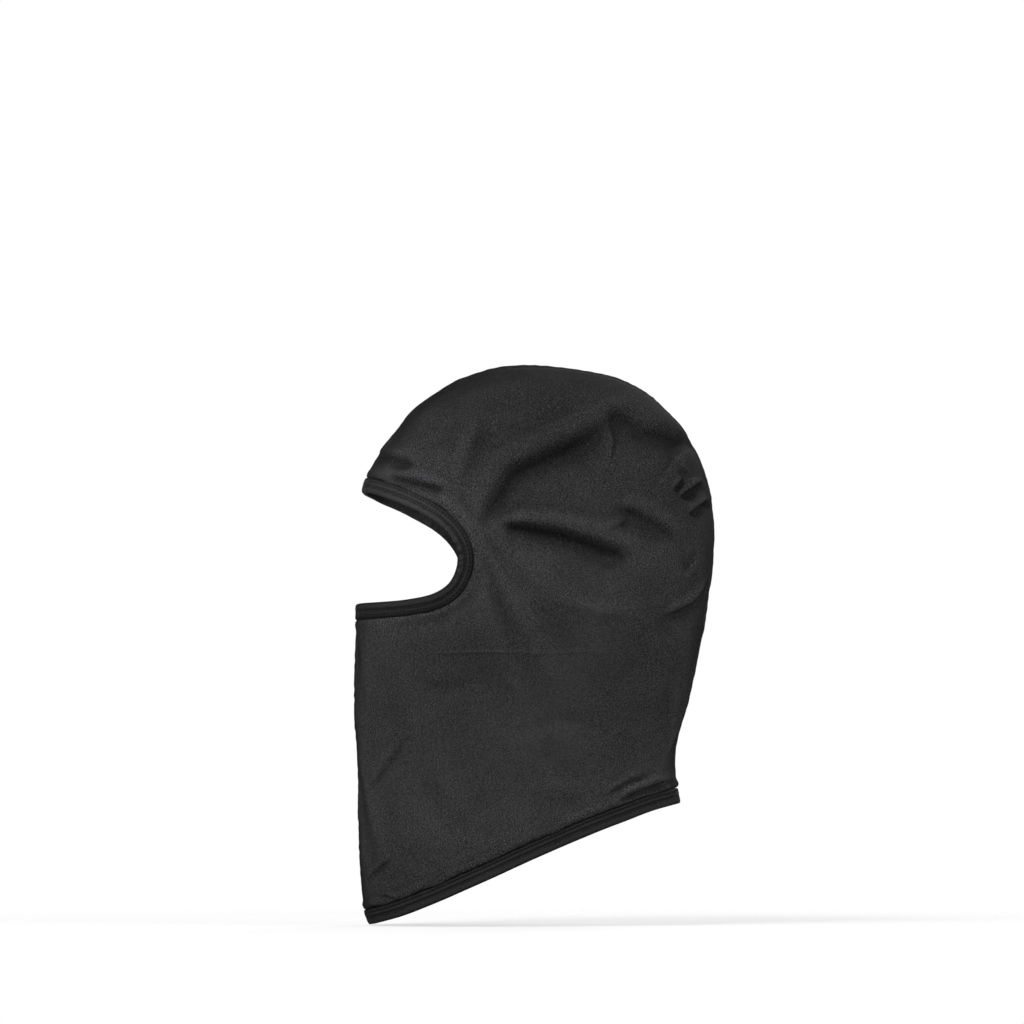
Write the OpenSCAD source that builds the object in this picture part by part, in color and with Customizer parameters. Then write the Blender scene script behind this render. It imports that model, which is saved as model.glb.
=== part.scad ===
// Stretch-jersey balaclava, opened out to the form it takes on a head.
// Two mirrored side panels meet in a seam over the crown and down the nape, and in a
// second seam down the throat. A folded binding finishes the face opening and the neck hem.
// Row frame: +Z up, the face looks along -Y, the wearer's left side is +X.
// Origin: centre of the bounding box's underside, on the mid plane.

/* [Overall] */
// Height from the throat tip of the hem to the crown
hood_height = 373.6; // [350:0.1:400]
// Length from throat to back of head, seen from the side
hood_length = 239.3; // [225:0.1:255]
// Width across the head, above the ears
head_width = 160; // [148:1:172]
// Width across the neck
neck_width = 134; // [124:1:146]
// Width across the hem
hem_width = 146; // [134:1:158]
// Squareness of the throat in plan, 2 is an ellipse
throat_square = 2.1; // [2:0.05:2.4]
// Squareness of the crown and back in plan, 2 is an ellipse
crown_square = 2.35; // [2:0.05:2.6]

/* [Fabric] */
// Thickness of the double-faced jersey
fabric_th = 1.1; // [0.9:0.05:1.3]
// Width of the overlocked seam allowance that stands inside the hood
seam_allowance = 5; // [4:0.5:6.5]
// Depth of the binding from its folded edge to its raw edge
binding_w = 9.6; // [9.2:0.1:11]
// Thickness of one leg of the binding
binding_th = 1.0; // [0.8:0.05:1.2]
// Air left between two layers of cloth
layer_gap = 0.12; // [0.1:0.02:0.16]

/* [Stitching] */
// Distance from the folded edge to the first needle row
row_inner_d = 5.4; // [5:0.1:6]
// Distance between the two needle rows of the coverstitch
needle_gauge = 2.8; // [2.4:0.1:3]
// Thread thickness
thread_d = 0.44; // [0.36:0.02:0.5]
// Pitch of the looper thread zigzag
looper_pitch = 4; // [3.5:0.5:8]

/* [Care label] */
// Width of the label along the nape seam
label_w = 22; // [16:1:28]
// Length of the label from the seam to its fold
label_l = 30; // [22:1:36]
// Thickness of the folded label
label_th = 0.3; // [0.2:0.05:0.4]

/* [Hidden] */

fabric_black = [0.17, 0.17, 0.175];
binding_black = [0.14, 0.14, 0.145];
thread_black = [0.22, 0.22, 0.225];
label_grey = [0.75, 0.75, 0.73];

across_n = 40;            // stations across one side panel, throat seam to crown seam
along_n = 20;             // stations along it between the two bindings
ring_n = 2 * across_n;    // stations round a binding, both sides
half_gap = 0.05;          // the panels stand this far from the mid plane
thread_r = thread_d / 2;
row_outer_d = row_inner_d + needle_gauge;
raw_edge_d = 1.3;         // the panel's raw edge sits this far inside the fold
bend_d = 3.5;             // where the binding leaves its fold and lies flat

// ---- outlines of the side panel ----
// Tables of [y, z], drawn for a hood of this size. The shift brings them to the origin.
drawn_length = 239.3;
drawn_height = 373.6;
drawn_shift = [0.18, -0.41];
length_scale = hood_length / drawn_length;
height_scale = hood_height / drawn_height;
function fit(points) = [for (p = points)
    [(p[0] + drawn_shift[0]) * length_scale, (p[1] + drawn_shift[1]) * height_scale]];

// brow, over the crown, down the back of the head and the nape
crown_pts = fit([
    [-113, 288.3], [-112.4, 294], [-109, 303.5], [-104, 313], [-94.5, 326.5],
    [-81, 343], [-62.5, 357], [-39.5, 367], [-21, 372], [-1.5, 374], [19.5, 373], [38, 370],
    [58.5, 363.5], [79.5, 351.5], [96.5, 335], [106.5, 319], [113, 303], [117.5, 282],
    [119.5, 256], [119.2, 232], [116, 209], [110.5, 182], [104, 153], [97.5, 128],
    [95, 110], [95.2, 94], [96.5, 81]]);
// throat, from the lower lip of the face opening down to the tip of the hem
throat_pts = fit([
    [-118, 213.8], [-118.5, 183.5], [-118.5, 150], [-118.5, 96.5],
    [-117, 49.5], [-115, 23], [-112, 8], [-108.5, 0.5]]);
// edge of the face opening, from the throat round the temple to the brow
face_pts = fit([
    [-118, 213.8], [-99, 213.9], [-81, 215.2], [-66.2, 218.3], [-56, 224.6],
    [-51, 233.6], [-50, 243], [-53.3, 252.6], [-61.5, 262.4], [-75, 271.8],
    [-94.5, 281], [-113, 288.3]]);
// hem, from the throat tip up to the nape
hem_pts = fit([
    [-108.5, 0.5], [-89, 6], [-69.5, 13.5], [-33, 29.5], [3.5, 46], [40, 61.5],
    [61, 69.5], [78.5, 76], [96.5, 81]]);

// ---- smooth curves through the outlines: [points, running lengths, tangents] ----
function last(list) = list[len(list) - 1];
function runs(points) = [for (i = 0, run = 0; i < len(points);
    run = i < len(points) - 1 ? run + norm(points[i + 1] - points[i]) : run, i = i + 1) run];
function slopes(points, lengths) = let (end = len(points) - 1)
    [for (i = [0:end]) let (before = max(0, i - 1), after = min(end, i + 1))
        (points[after] - points[before]) / (lengths[after] - lengths[before])];
function curve(points) = let (lengths = runs(points)) [points, lengths, slopes(points, lengths)];
function find_span(lengths, run, i = 0) =
    (i >= len(lengths) - 2 || run < lengths[i + 1]) ? i : find_span(lengths, run, i + 1);
// point at a share, 0 to 1, of the curve's length
function curve_at(line, share) = let (
        points = line[0], lengths = line[1], tangents = line[2],
        run = max(0, min(1, share)) * last(lengths),
        i = find_span(lengths, run),
        step = lengths[i + 1] - lengths[i],
        f = (run - lengths[i]) / step, f2 = f * f, f3 = f2 * f)
    (2 * f3 - 3 * f2 + 1) * points[i] + (f3 - 2 * f2 + f) * step * tangents[i]
    + (3 * f2 - 2 * f3) * points[i + 1] + (f3 - f2) * step * tangents[i + 1];

crown_line = curve(crown_pts);
throat_line = curve(throat_pts);
face_line = curve(face_pts);
hem_line = curve(hem_pts);

// ---- the hood's surface ----
// s runs from the face opening (0) to the hem (1), t from the throat (0) to the crown seam (1)
temple_push = 210;        // pushes the panel's lines clear of the temple
neck_level = 110;         // drawn height where the neck is at its own width
head_level = 260;         // drawn height where the head reaches its full width

// direction in the side view, square to the face edge and away from the opening
function face_out(t) = let (
        chord = curve_at(face_line, t + 0.001) - curve_at(face_line, t - 0.001),
        tangent = chord / norm(chord))
    [tangent[1], -tangent[0]];
// side view [y, z]: a patch blended between the four outlines, with the temple push
function side(s, t) =
    (1 - s) * curve_at(face_line, t) + s * curve_at(hem_line, t)
    + (1 - t) * curve_at(throat_line, s) + t * curve_at(crown_line, s)
    - ((1 - s) * (1 - t) * face_pts[0] + (1 - s) * t * last(face_pts)
       + s * (1 - t) * hem_pts[0] + s * t * last(hem_pts))
    + temple_push * s * pow(1 - s, 3) * pow(sin(180 * t), 2) * face_out(t);
function ease(x) = let (c = max(0, min(1, x))) c * c * (3 - 2 * c);
function half_width(z) = let (level = z / height_scale)
    (neck_width
     + (head_width - neck_width) * ease((level - neck_level) / (head_level - neck_level))
     + (hem_width - neck_width) * (1 - ease(level / neck_level))) / 2;
function signed_pow(x, power) = sign(x) * pow(abs(x), power);
// angle goes round the hood: 0 throat, 90 left side, 180 crown seam, 270 right side
function skin(s, angle) = let (
        square = throat_square + (crown_square - throat_square) * (1 - cos(angle)) / 2,
        p = side(s, (1 - signed_pow(cos(angle), 2 / square)) / 2))
    [half_width(p[1]) * signed_pow(sin(angle), 2 / square), p[0], p[1]];

// angle of station j, closer together round the temples than at the two seams
function turn(j) = 180 * j / across_n + 10 * sin(360 * j / across_n);
function unit(v) = v / norm(v);
// change of the surface point per unit of s, and per degree
function along(s, angle) = let (low = max(0, s - 0.004), high = min(1, s + 0.004))
    (skin(high, angle) - skin(low, angle)) / (high - low);
function round_way(s, angle) = skin(s, angle + 0.5) - skin(s, angle - 0.5);
function out(s, angle) = unit(cross(along(s, angle), round_way(s, angle)));
// point at a height off the cloth's outer face
function lift(s, angle, height) = skin(s, angle) + height * out(s, angle);

// ---- distances in from the two bound edges ----
// an edge is named by its value of s
FACE = 0;
HEM = 1;
first_share = 0.02;       // first guess at a share of s
function from_edge(edge, share) = edge == FACE ? share : 1 - share;
// unit vector on the cloth, square to the edge
function inward(edge, angle) =
    unit(cross(out(edge, angle), round_way(edge, angle)) * (edge == FACE ? -1 : 1));
// share of s scaled so that it lies depth in from the edge
function rescale(edge, depth, angle, square_in, share) =
    share * depth / ((skin(from_edge(edge, share), angle) - skin(edge, angle)) * square_in);
function refine(edge, depth, angle, square_in, share, passes) = passes == 0 ? share
    : refine(edge, depth, angle, square_in,
             rescale(edge, depth, angle, square_in, share), passes - 1);
function edge_share(edge, depth, angle) =
    refine(edge, depth, angle, inward(edge, angle), first_share, depth > 1 ? 5 : 1);
// moves a foot [s, angle] over the surface towards a target point
function step_in(target, foot, passes) = passes == 0 ? foot : let (
        s = foot[0], angle = foot[1],
        miss = target - skin(s, angle),
        s_way = along(s, angle), angle_way = round_way(s, angle),
        normal = cross(s_way, angle_way), area2 = normal * normal)
    step_in(target, [
        max(0, min(1, s + cross(miss, angle_way) * normal / area2)),
        angle + cross(s_way, miss) * normal / area2], passes - 1);
// [s, angle] of the point reached by going depth in, square to the edge
function edge_foot(edge, depth, angle) =
    let (start = [from_edge(edge, edge_share(edge, depth, angle)), angle])
    depth > 1 ? step_in(skin(edge, angle) + depth * inward(edge, angle), start, 3) : start;
function on_edge(edge, depth, height, angle) = let (foot = edge_foot(edge, depth, angle))
    lift(foot[0], foot[1], height);

// ---- solids from rings of points ----
// rings: closed loops of points, all with the same count. cap: triangles that fill a loop.
// With no cap the last ring joins the first
module ring_solid(rings, cap = []) {
    count = len(rings[0]);
    ring_count = len(rings);
    joins = len(cap) == 0 ? ring_count : ring_count - 1;
    sides = [for (i = [0:joins - 1]) for (j = [0:count - 1])
        let (here = i * count, next = ((i + 1) % ring_count) * count, k = (j + 1) % count)
        each [[here + j, here + k, next + k], [here + j, next + k, next + j]]];
    first_cap = [for (f = cap) [f[0], f[2], f[1]]];
    last_cap = [for (f = cap) [for (v = f) v + (ring_count - 1) * count]];
    polyhedron(points = [for (r = rings) each r], convexity = 10,
        faces = concat(sides, first_cap, last_cap));
}

// ---- side panels ----
// rows along the panel: three under the face binding, along_n between,
// three under the hem binding
edge_depths = [raw_edge_d, bend_d, binding_w + 0.2];
edge_rows = len(edge_depths);
last_row = along_n + 2 * edge_rows - 1;
flange_x = half_gap + fabric_th * 0.8;    // inner side of a seam allowance
over_d = fabric_th + seam_allowance;      // depth of the allowance's raw edge
stub = 0.02;                              // allowance left under the bindings

function panel_s(row, angle) = let (
        start = edge_share(FACE, last(edge_depths), angle),
        end = 1 - edge_share(HEM, last(edge_depths), angle))
    start + (end - start) * (row - edge_rows + 1) / (along_n + 1);
function panel_at(row, angle, height) =
    row < edge_rows ? on_edge(FACE, edge_depths[row], height, angle)
    : last_row - row < edge_rows ? on_edge(HEM, edge_depths[last_row - row], height, angle)
    : lift(panel_s(row, angle), angle, height);
// point beside a seam, at x and at a depth below the cloth's outer face
function seam_point(row, angle, x, depth) = let (p = panel_at(row, angle, -depth)) [x, p[1], p[2]];

// one loop of the panel: outer face, crown allowance, inner face, throat allowance
function panel_loop(row) =
    let (deep = min(row, last_row - row) < edge_rows ? fabric_th + stub : over_d)
    concat(
        [for (j = [0:across_n]) let (p = panel_at(row, turn(j), 0))
            [max(half_gap, p[0]), p[1], p[2]]],
        [seam_point(row, 180, half_gap, deep),
         seam_point(row, 180, flange_x, deep),
         seam_point(row, 180, flange_x, fabric_th)],
        [for (j = [across_n - 1:-1:1]) panel_at(row, turn(j), -fabric_th)],
        [seam_point(row, 0, flange_x, fabric_th),
         seam_point(row, 0, flange_x, deep),
         seam_point(row, 0, half_gap, deep)]);
// triangles over that loop: the cloth, then the crown and the throat allowance.
// Outer point j faces inner point inner_0 - j
function panel_cap() = let (m = across_n, inner_0 = 2 * m + 3)
    concat(
        [for (j = [0:m - 1])
            each [[j, inner_0 - j - 1, inner_0 - j], [j, j + 1, inner_0 - j - 1]]],
        [[m, m + 2, m + 3], [m, m + 1, m + 2]],
        [[0, inner_0 + 1, inner_0 + 2], [0, inner_0, inner_0 + 1]]);

module side_panel() {
    ring_solid([for (row = [0:last_row]) panel_loop(row)], panel_cap());
}
module left_panel() { color(fabric_black) side_panel(); }
module right_panel() { color(fabric_black) mirror([1, 0, 0]) side_panel(); }

// ---- bindings ----
// heights of the two legs' faces, off the cloth's outer face
outer_top = layer_gap + binding_th;
inner_top = -fabric_th - layer_gap;
inner_low = inner_top - binding_th;
bend_swell = 0.1;         // each leg is this much fuller at the bend
shoulder_d = 0.9;         // where the fold rounds over
shoulder_drop = 0.15;
nose_rise = 0.2;          // reach of the fold's blunt nose past each face of the cloth
nose_bulge = 0.15;
pocket_d = raw_edge_d - 0.1;    // bottom of the slot that holds the panel

// U-shaped section, [depth from fold, height off the cloth's outer face]
binding_section = [
    [binding_w, outer_top],
    [bend_d, outer_top + bend_swell],
    [shoulder_d, outer_top - shoulder_drop],
    [0, nose_rise],
    [-nose_bulge, -fabric_th / 2],
    [0, -fabric_th - nose_rise],
    [shoulder_d, inner_low + shoulder_drop],
    [bend_d, inner_low - bend_swell],
    [binding_w, inner_low],
    [binding_w, inner_top], [bend_d, inner_top], [pocket_d, inner_top],
    [pocket_d, layer_gap], [bend_d, layer_gap], [binding_w, layer_gap]];

// stations round an edge, in the order that turns the solid's faces outward
function stations(edge, count) = edge == FACE ? [0:count - 1] : [count - 1:-1:0];
module binding(edge) {
    ring_solid([for (j = stations(edge, ring_n))
        [for (q = binding_section) on_edge(edge, q[0], q[1], turn(j))]]);
}
module face_binding() { color(binding_black) binding(FACE); }
module hem_binding() { color(binding_black) binding(HEM); }

// ---- coverstitch on the bindings ----
thread_clear = 0.2;       // air between a thread and the binding
needle_height = outer_top + thread_clear + thread_r;
looper_height = inner_low - thread_clear - thread_r;
// two zigzag points for each pitch in these nominal lengths
face_zigs = 2 * round(400 / looper_pitch);
hem_zigs = 2 * round(520 / looper_pitch);

function mix(p, q, f) = p + (q - p) * f;
// point on the flat leg at whole station j
function leg_at(edge, j, depth, height) =
    mix(on_edge(edge, bend_d, height, turn(j)), on_edge(edge, binding_w, height, turn(j)),
        (depth - bend_d) / (binding_w - bend_d));
// the same at a place between stations
function leg(edge, place, depth, height) = let (
        j = floor(place), f = place - j, p = leg_at(edge, j, depth, height))
    f == 0 ? p : mix(p, leg_at(edge, j + 1, depth, height), f);
// four-sided section of a thread laid along a binding
function cord(edge, place, depth, height) = [
    leg(edge, place, depth - thread_r, height),
    leg(edge, place, depth, height - thread_r),
    leg(edge, place, depth + thread_r, height),
    leg(edge, place, depth, height + thread_r)];

module needle_row(edge, depth) {
    ring_solid([for (j = stations(edge, ring_n)) cord(edge, j, depth, needle_height)]);
}
// zigzag between the two rows, on the inside of the hood
module looper_row(edge, zigs) {
    ring_solid([for (j = stations(edge, zigs))
        cord(edge, ring_n * j / zigs, j % 2 == 0 ? row_inner_d : row_outer_d, looper_height)]);
}
module face_needle_thread_inner() { color(thread_black) needle_row(FACE, row_inner_d); }
module face_needle_thread_outer() { color(thread_black) needle_row(FACE, row_outer_d); }
module face_looper_thread() { color(thread_black) looper_row(FACE, face_zigs); }
module hem_needle_thread_lower() { color(thread_black) needle_row(HEM, row_inner_d); }
module hem_needle_thread_upper() { color(thread_black) needle_row(HEM, row_outer_d); }
module hem_looper_thread() { color(thread_black) looper_row(HEM, hem_zigs); }

// ---- overlock on the seam allowances ----
// angle is 0 on the throat and 180 on the crown
THROAT = 0;
CROWN = 180;
side_x = flange_x + layer_gap;    // inner side of the thread beside the allowance
wrap_th = 0.3;                    // thickness of the looper wrap
wrap_x = side_x + wrap_th;
looper_top = fabric_th + 1.7;
needle_d = fabric_th + 1;

// section: [x, depth below the cloth's outer face], its second half doubling back on the first
module seam_run(angle, section) {
    count = len(section);
    points = angle == THROAT ? [for (j = [count - 1:-1:0]) section[j]] : section;
    cap = [for (j = [0:count / 2 - 2])
        each [[j, j + 1, count - 2 - j], [j, count - 2 - j, count - 1 - j]]];
    ring_solid([for (row = [edge_rows:last_row - edge_rows])
        [for (q = points) seam_point(row, angle, q[0], q[1])]], cap);
}
module seam_looper(angle) {
    low = over_d + layer_gap;
    seam_run(angle, [
        [-wrap_x, looper_top], [-wrap_x, low + wrap_th],
        [wrap_x, low + wrap_th], [wrap_x, looper_top],
        [side_x, looper_top], [side_x, low],
        [-side_x, low], [-side_x, looper_top]]);
}
module seam_needle(angle) {
    for (x = [-side_x - thread_r, side_x + thread_r])
        seam_run(angle, [[x - thread_r, needle_d], [x, needle_d + thread_r],
                         [x + thread_r, needle_d], [x, needle_d - thread_r]]);
}
module crown_seam_needle_thread() { color(thread_black) seam_needle(CROWN); }
module crown_seam_looper_thread() { color(thread_black) seam_looper(CROWN); }
module throat_seam_needle_thread() { color(thread_black) seam_needle(THROAT); }
module throat_seam_looper_thread() { color(thread_black) seam_looper(THROAT); }

// ---- care label ----
label_s = 0.8;            // its place along the crown and nape seam
label_x = wrap_x + 0.15;
label_top = fabric_th + 2;
label_swing = 5;          // its free end stands this much further out in x
label_steps = 12;

// on the left face of the nape allowance. Its profile is drawn in [x, depth]
module care_label() {
    p = skin(label_s, CROWN);
    down = unit(along(label_s, CROWN));
    normal = out(label_s, CROWN);
    bend = [for (i = [0:label_steps]) let (u = i / label_steps)
        [label_x + label_swing * u * u, label_top + label_l * u]];
    color(label_grey)
        multmatrix([
            [1, 0, 0, 0],
            [0, -normal[1], down[1], p[1]],
            [0, -normal[2], down[2], p[2]],
            [0, 0, 0, 1]])
        translate([0, 0, -label_w / 2])
        linear_extrude(label_w)
            polygon(concat(bend, [for (i = [label_steps:-1:0]) bend[i] + [label_th, 0]]));
}

left_panel();
right_panel();
face_binding();
hem_binding();
crown_seam_needle_thread();
crown_seam_looper_thread();
throat_seam_needle_thread();
throat_seam_looper_thread();
face_needle_thread_inner();
face_needle_thread_outer();
face_looper_thread();
hem_needle_thread_lower();
hem_needle_thread_upper();
hem_looper_thread();
care_label();
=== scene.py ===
"""Balaclava: a jersey hood of two side panels with bound face and hem edges.
Metres, +Z up. The face looks along -Y and the wearer's left is +X. Shapes are worked out in mm."""

import math

import bmesh
import bpy
import numpy as np
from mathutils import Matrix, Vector


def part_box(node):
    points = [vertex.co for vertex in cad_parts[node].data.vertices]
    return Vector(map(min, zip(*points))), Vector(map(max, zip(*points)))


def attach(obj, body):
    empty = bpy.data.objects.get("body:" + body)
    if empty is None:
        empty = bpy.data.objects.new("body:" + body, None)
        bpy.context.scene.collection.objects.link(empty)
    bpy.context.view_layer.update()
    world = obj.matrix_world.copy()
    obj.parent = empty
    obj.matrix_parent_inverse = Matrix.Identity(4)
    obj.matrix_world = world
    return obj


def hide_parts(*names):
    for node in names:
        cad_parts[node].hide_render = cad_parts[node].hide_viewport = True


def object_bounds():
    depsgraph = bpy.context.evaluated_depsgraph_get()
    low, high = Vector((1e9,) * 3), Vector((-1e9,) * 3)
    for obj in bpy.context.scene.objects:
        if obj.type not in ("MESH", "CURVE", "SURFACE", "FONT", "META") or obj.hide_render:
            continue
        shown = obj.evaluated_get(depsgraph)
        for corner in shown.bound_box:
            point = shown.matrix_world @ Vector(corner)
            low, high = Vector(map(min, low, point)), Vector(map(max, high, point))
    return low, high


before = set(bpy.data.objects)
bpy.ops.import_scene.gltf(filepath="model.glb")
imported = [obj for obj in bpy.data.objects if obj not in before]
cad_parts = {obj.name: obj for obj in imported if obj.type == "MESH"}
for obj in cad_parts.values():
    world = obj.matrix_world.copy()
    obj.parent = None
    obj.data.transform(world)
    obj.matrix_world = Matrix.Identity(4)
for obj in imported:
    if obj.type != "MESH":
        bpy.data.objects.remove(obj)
cad_lo, cad_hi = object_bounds()

MM = 0.001
rng = np.random.default_rng(7)

# ------------------------------------------------------------------ dimensions, mm
CLOTH = 1.1             # cloth thickness
HALF_GAP = 0.05         # from the mid plane to a panel's seam
ALLOWANCE_SIDE = 0.92   # from the mid plane to the far side of a seam allowance
LEG = 1.0               # thickness of a binding leg
BIND_WIDTH = 9.6
NEEDLE_ROWS = (5.4, 8.2)    # depth of the two needle rows from the bound edge
ROW_MIDDLE = sum(NEEDLE_ROWS) / 2
STITCH = 2.05           # binding stitch length
SEAM_STITCH = 2.3       # overlock stitch length
FACE_EDGE, HEM_EDGE = 0, 1
THROAT_COLUMN, CROWN_COLUMN = 0, -1     # a panel's first and last columns

# pattern lines: [y, z] stations in the side view
CROWN = [
    (-113,288.3), (-112.4,294), (-109,303.5), (-104,313), (-94.5,326.5), (-81,343), (-62.5,357),
    (-39.5,367), (-21,372), (-1.5,374), (19.5,373), (38,370), (58.5,363.5), (79.5,351.5),
    (96.5,335), (106.5,319), (113,303), (117.5,282), (119.5,256), (119.2,232), (116,209),
    (110.5,182), (104,153), (97.5,128), (95,110), (95.2,94), (96.5,81)]
THROAT = [
    (-118,213.8), (-118.5,183.5), (-118.5,150), (-118.5,96.5), (-117,49.5), (-115,23), (-112,8),
    (-108.5,0.5)]
FACE = [
    (-118,213.8), (-99,213.9), (-81,215.2), (-66.2,218.3), (-56,224.6), (-51,233.6), (-50,243),
    (-53.3,252.6), (-61.5,262.4), (-75,271.8), (-94.5,281), (-113,288.3)]
HEM = [
    (-108.5,0.5), (-89,6), (-69.5,13.5), (-33,29.5), (3.5,46), (40,61.5), (61,69.5), (78.5,76),
    (96.5,81)]

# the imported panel's box says how large this hood is, and where
panel_lo, panel_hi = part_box("left_panel")


def fit(axis, low, high):
    """Scale and shift that carry the drawn panel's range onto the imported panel's."""
    scale = (panel_hi[axis] - panel_lo[axis]) / MM / (high - low)
    return scale, panel_lo[axis] / MM - scale * low


SCALE_Y, SHIFT_Y = fit(1, low=-118.62, high=119.55)
SCALE_Z, SHIFT_Z = fit(2, low=1.67, high=374.03)
SCALE_X = panel_hi[0] / MM / 80.0   # the drawn half width is 80


# ------------------------------------------------------------------ small mathematics
def unit(vector):
    return vector / np.maximum(np.linalg.norm(vector, axis=-1, keepdims=True), 1e-12)


def dot(a, b):
    return (a * b).sum(-1)


def ease(x):
    x = np.clip(x, 0, 1)
    return x * x * (3 - 2 * x)


def bell(x, centre, width):
    return np.exp(-((x - centre) / width) ** 2)


def length_along(points):
    """Length run from the first point to each, along the first axis."""
    steps = np.linalg.norm(np.diff(points, axis=0), axis=-1)
    return np.concatenate([0 * steps[:1], np.cumsum(steps, axis=0)])


class Waves:
    """Smooth seeded noise: a sum of plane waves between two wavelengths."""
    COUNT = 28

    def __init__(self, seed, shortest, longest, dimensions=3):
        draw = np.random.default_rng(seed)
        ways = draw.normal(size=(self.COUNT, dimensions))
        ways /= np.linalg.norm(ways, axis=1, keepdims=True)
        self.ways = ways * (2 * np.pi / draw.uniform(shortest, longest, (self.COUNT, 1)))
        self.phases = draw.uniform(0, 2 * np.pi, self.COUNT)

    def __call__(self, *place):
        total = sum(np.cos(sum(w * x for w, x in zip(way, place)) + phase)
                    for way, phase in zip(self.ways, self.phases))
        return total * math.sqrt(2 / self.COUNT)


# ------------------------------------------------------------------ the hood's smooth form
class Curve:
    """Smooth curve through stations, by chord length."""
    def __init__(self, stations):
        points = np.array(stations, float) * (SCALE_Y, SCALE_Z) + (SHIFT_Y, SHIFT_Z)
        run = length_along(points)
        slopes = np.zeros_like(points)
        slopes[0] = (points[1] - points[0]) / (run[1] - run[0])
        slopes[-1] = (points[-1] - points[-2]) / (run[-1] - run[-2])
        slopes[1:-1] = (points[2:] - points[:-2]) / (run[2:] - run[:-2])[:, None]
        self.points, self.run, self.slopes = points, run, slopes

    def __call__(self, share):
        run = np.clip(np.asarray(share, float), 0, 1) * self.run[-1]
        i = np.clip(np.searchsorted(self.run, run, side="right") - 1, 0, len(self.points) - 2)
        chord = self.run[i + 1] - self.run[i]
        part = (run - self.run[i]) / chord
        square, cube = part * part, part ** 3
        return ((2 * cube - 3 * square + 1)[..., None] * self.points[i]
                + ((cube - 2 * square + part) * chord)[..., None] * self.slopes[i]
                + (3 * square - 2 * cube)[..., None] * self.points[i + 1]
                + ((cube - square) * chord)[..., None] * self.slopes[i + 1])


crown, throat, face, hem = Curve(CROWN), Curve(THROAT), Curve(FACE), Curve(HEM)
BOW = 210   # how strongly the form's lines leave square to the face edge


def side(share, climb):
    """Side view [y, z]. share: 0 face edge to 1 hem. climb: 0 throat to 1 crown."""
    step = 1e-3
    edge = face(climb + step) - face(climb - step)
    edge /= np.linalg.norm(edge, axis=-1, keepdims=True)
    away = np.stack([edge[..., 1], -edge[..., 0]], -1)
    s, t = share[..., None], climb[..., None]
    corners = ((1 - s) * (1 - t) * face.points[0] + (1 - s) * t * face.points[-1]
               + s * (1 - t) * hem.points[0] + s * t * hem.points[-1])
    return ((1 - s) * face(climb) + s * hem(climb) + (1 - t) * throat(share) + t * crown(share)
            - corners + BOW * s * (1 - s) ** 3 * (np.sin(np.pi * t) ** 2) * away)


def half_width(z):
    """134 mm across the neck, 26 more at the head and 12 more at the hem, before scaling."""
    z = (z - SHIFT_Z) / SCALE_Z - 0.41
    return SCALE_X * (134 + 26 * ease((z - 110) / 150) + 12 * (1 - ease(z / 110))) / 2


def skin(share, angle):
    """angle: degrees round the hood, 0 throat, 90 left side, 180 crown seam, 270 right."""
    share, angle = np.broadcast_arrays(np.asarray(share, float), np.asarray(angle, float))
    cosine, sine = np.cos(np.radians(angle)), np.sin(np.radians(angle))
    power = 2.1 + 0.25 * (1 - cosine) / 2      # the section is a little squarer at the crown
    climb = (1 - np.sign(cosine) * np.abs(cosine) ** (2 / power)) / 2
    flat = side(share, climb)
    x = np.sign(sine) * half_width(flat[..., 1]) * np.abs(sine) ** (2 / power)
    return np.stack([x, flat[..., 0], flat[..., 1]], -1)


def hemward(share, angle):
    low, high = np.maximum(0, share - 0.004), np.minimum(1, share + 0.004)
    return (skin(high, angle) - skin(low, angle)) / (high - low)[..., None]


def roundward(share, angle):
    return skin(share, angle + 0.5) - skin(share, angle - 0.5)


def skin_normal(share, angle):
    return unit(np.cross(hemward(share, angle), roundward(share, angle)))


def foot(edge, depth, angle):
    """Share and angle where a step of length depth, square to an edge at angle, lands."""
    depth, angle = np.broadcast_arrays(np.asarray(depth, float), np.asarray(angle, float))
    start = skin(edge, angle)
    square = unit(np.cross(skin_normal(edge, angle), roundward(edge, angle)))
    square = square * (-1 if edge == FACE_EDGE else 1)

    def reach(inset):
        return dot(skin(inset if edge == FACE_EDGE else 1 - inset, angle) - start, square)

    deep = depth > 0.5
    inset = 0.02 * depth / reach(0.02)
    for _ in range(4):
        inset = np.where(deep, inset * depth / np.where(deep, reach(inset), 1), inset)
    share = inset if edge == FACE_EDGE else 1 - inset
    target, turned = start + depth[..., None] * square, angle
    for _ in range(4):
        gap = target - skin(share, turned)
        down, around = hemward(share, turned), roundward(share, turned)
        normal = np.cross(down, around)
        size = dot(normal, normal)
        share_step = np.where(deep, dot(np.cross(gap, around), normal) / size, 0)
        share = np.clip(share + share_step, 0, 1)
        turned = turned + np.where(deep, dot(np.cross(down, gap), normal) / size, 0)
    return share, turned


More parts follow.
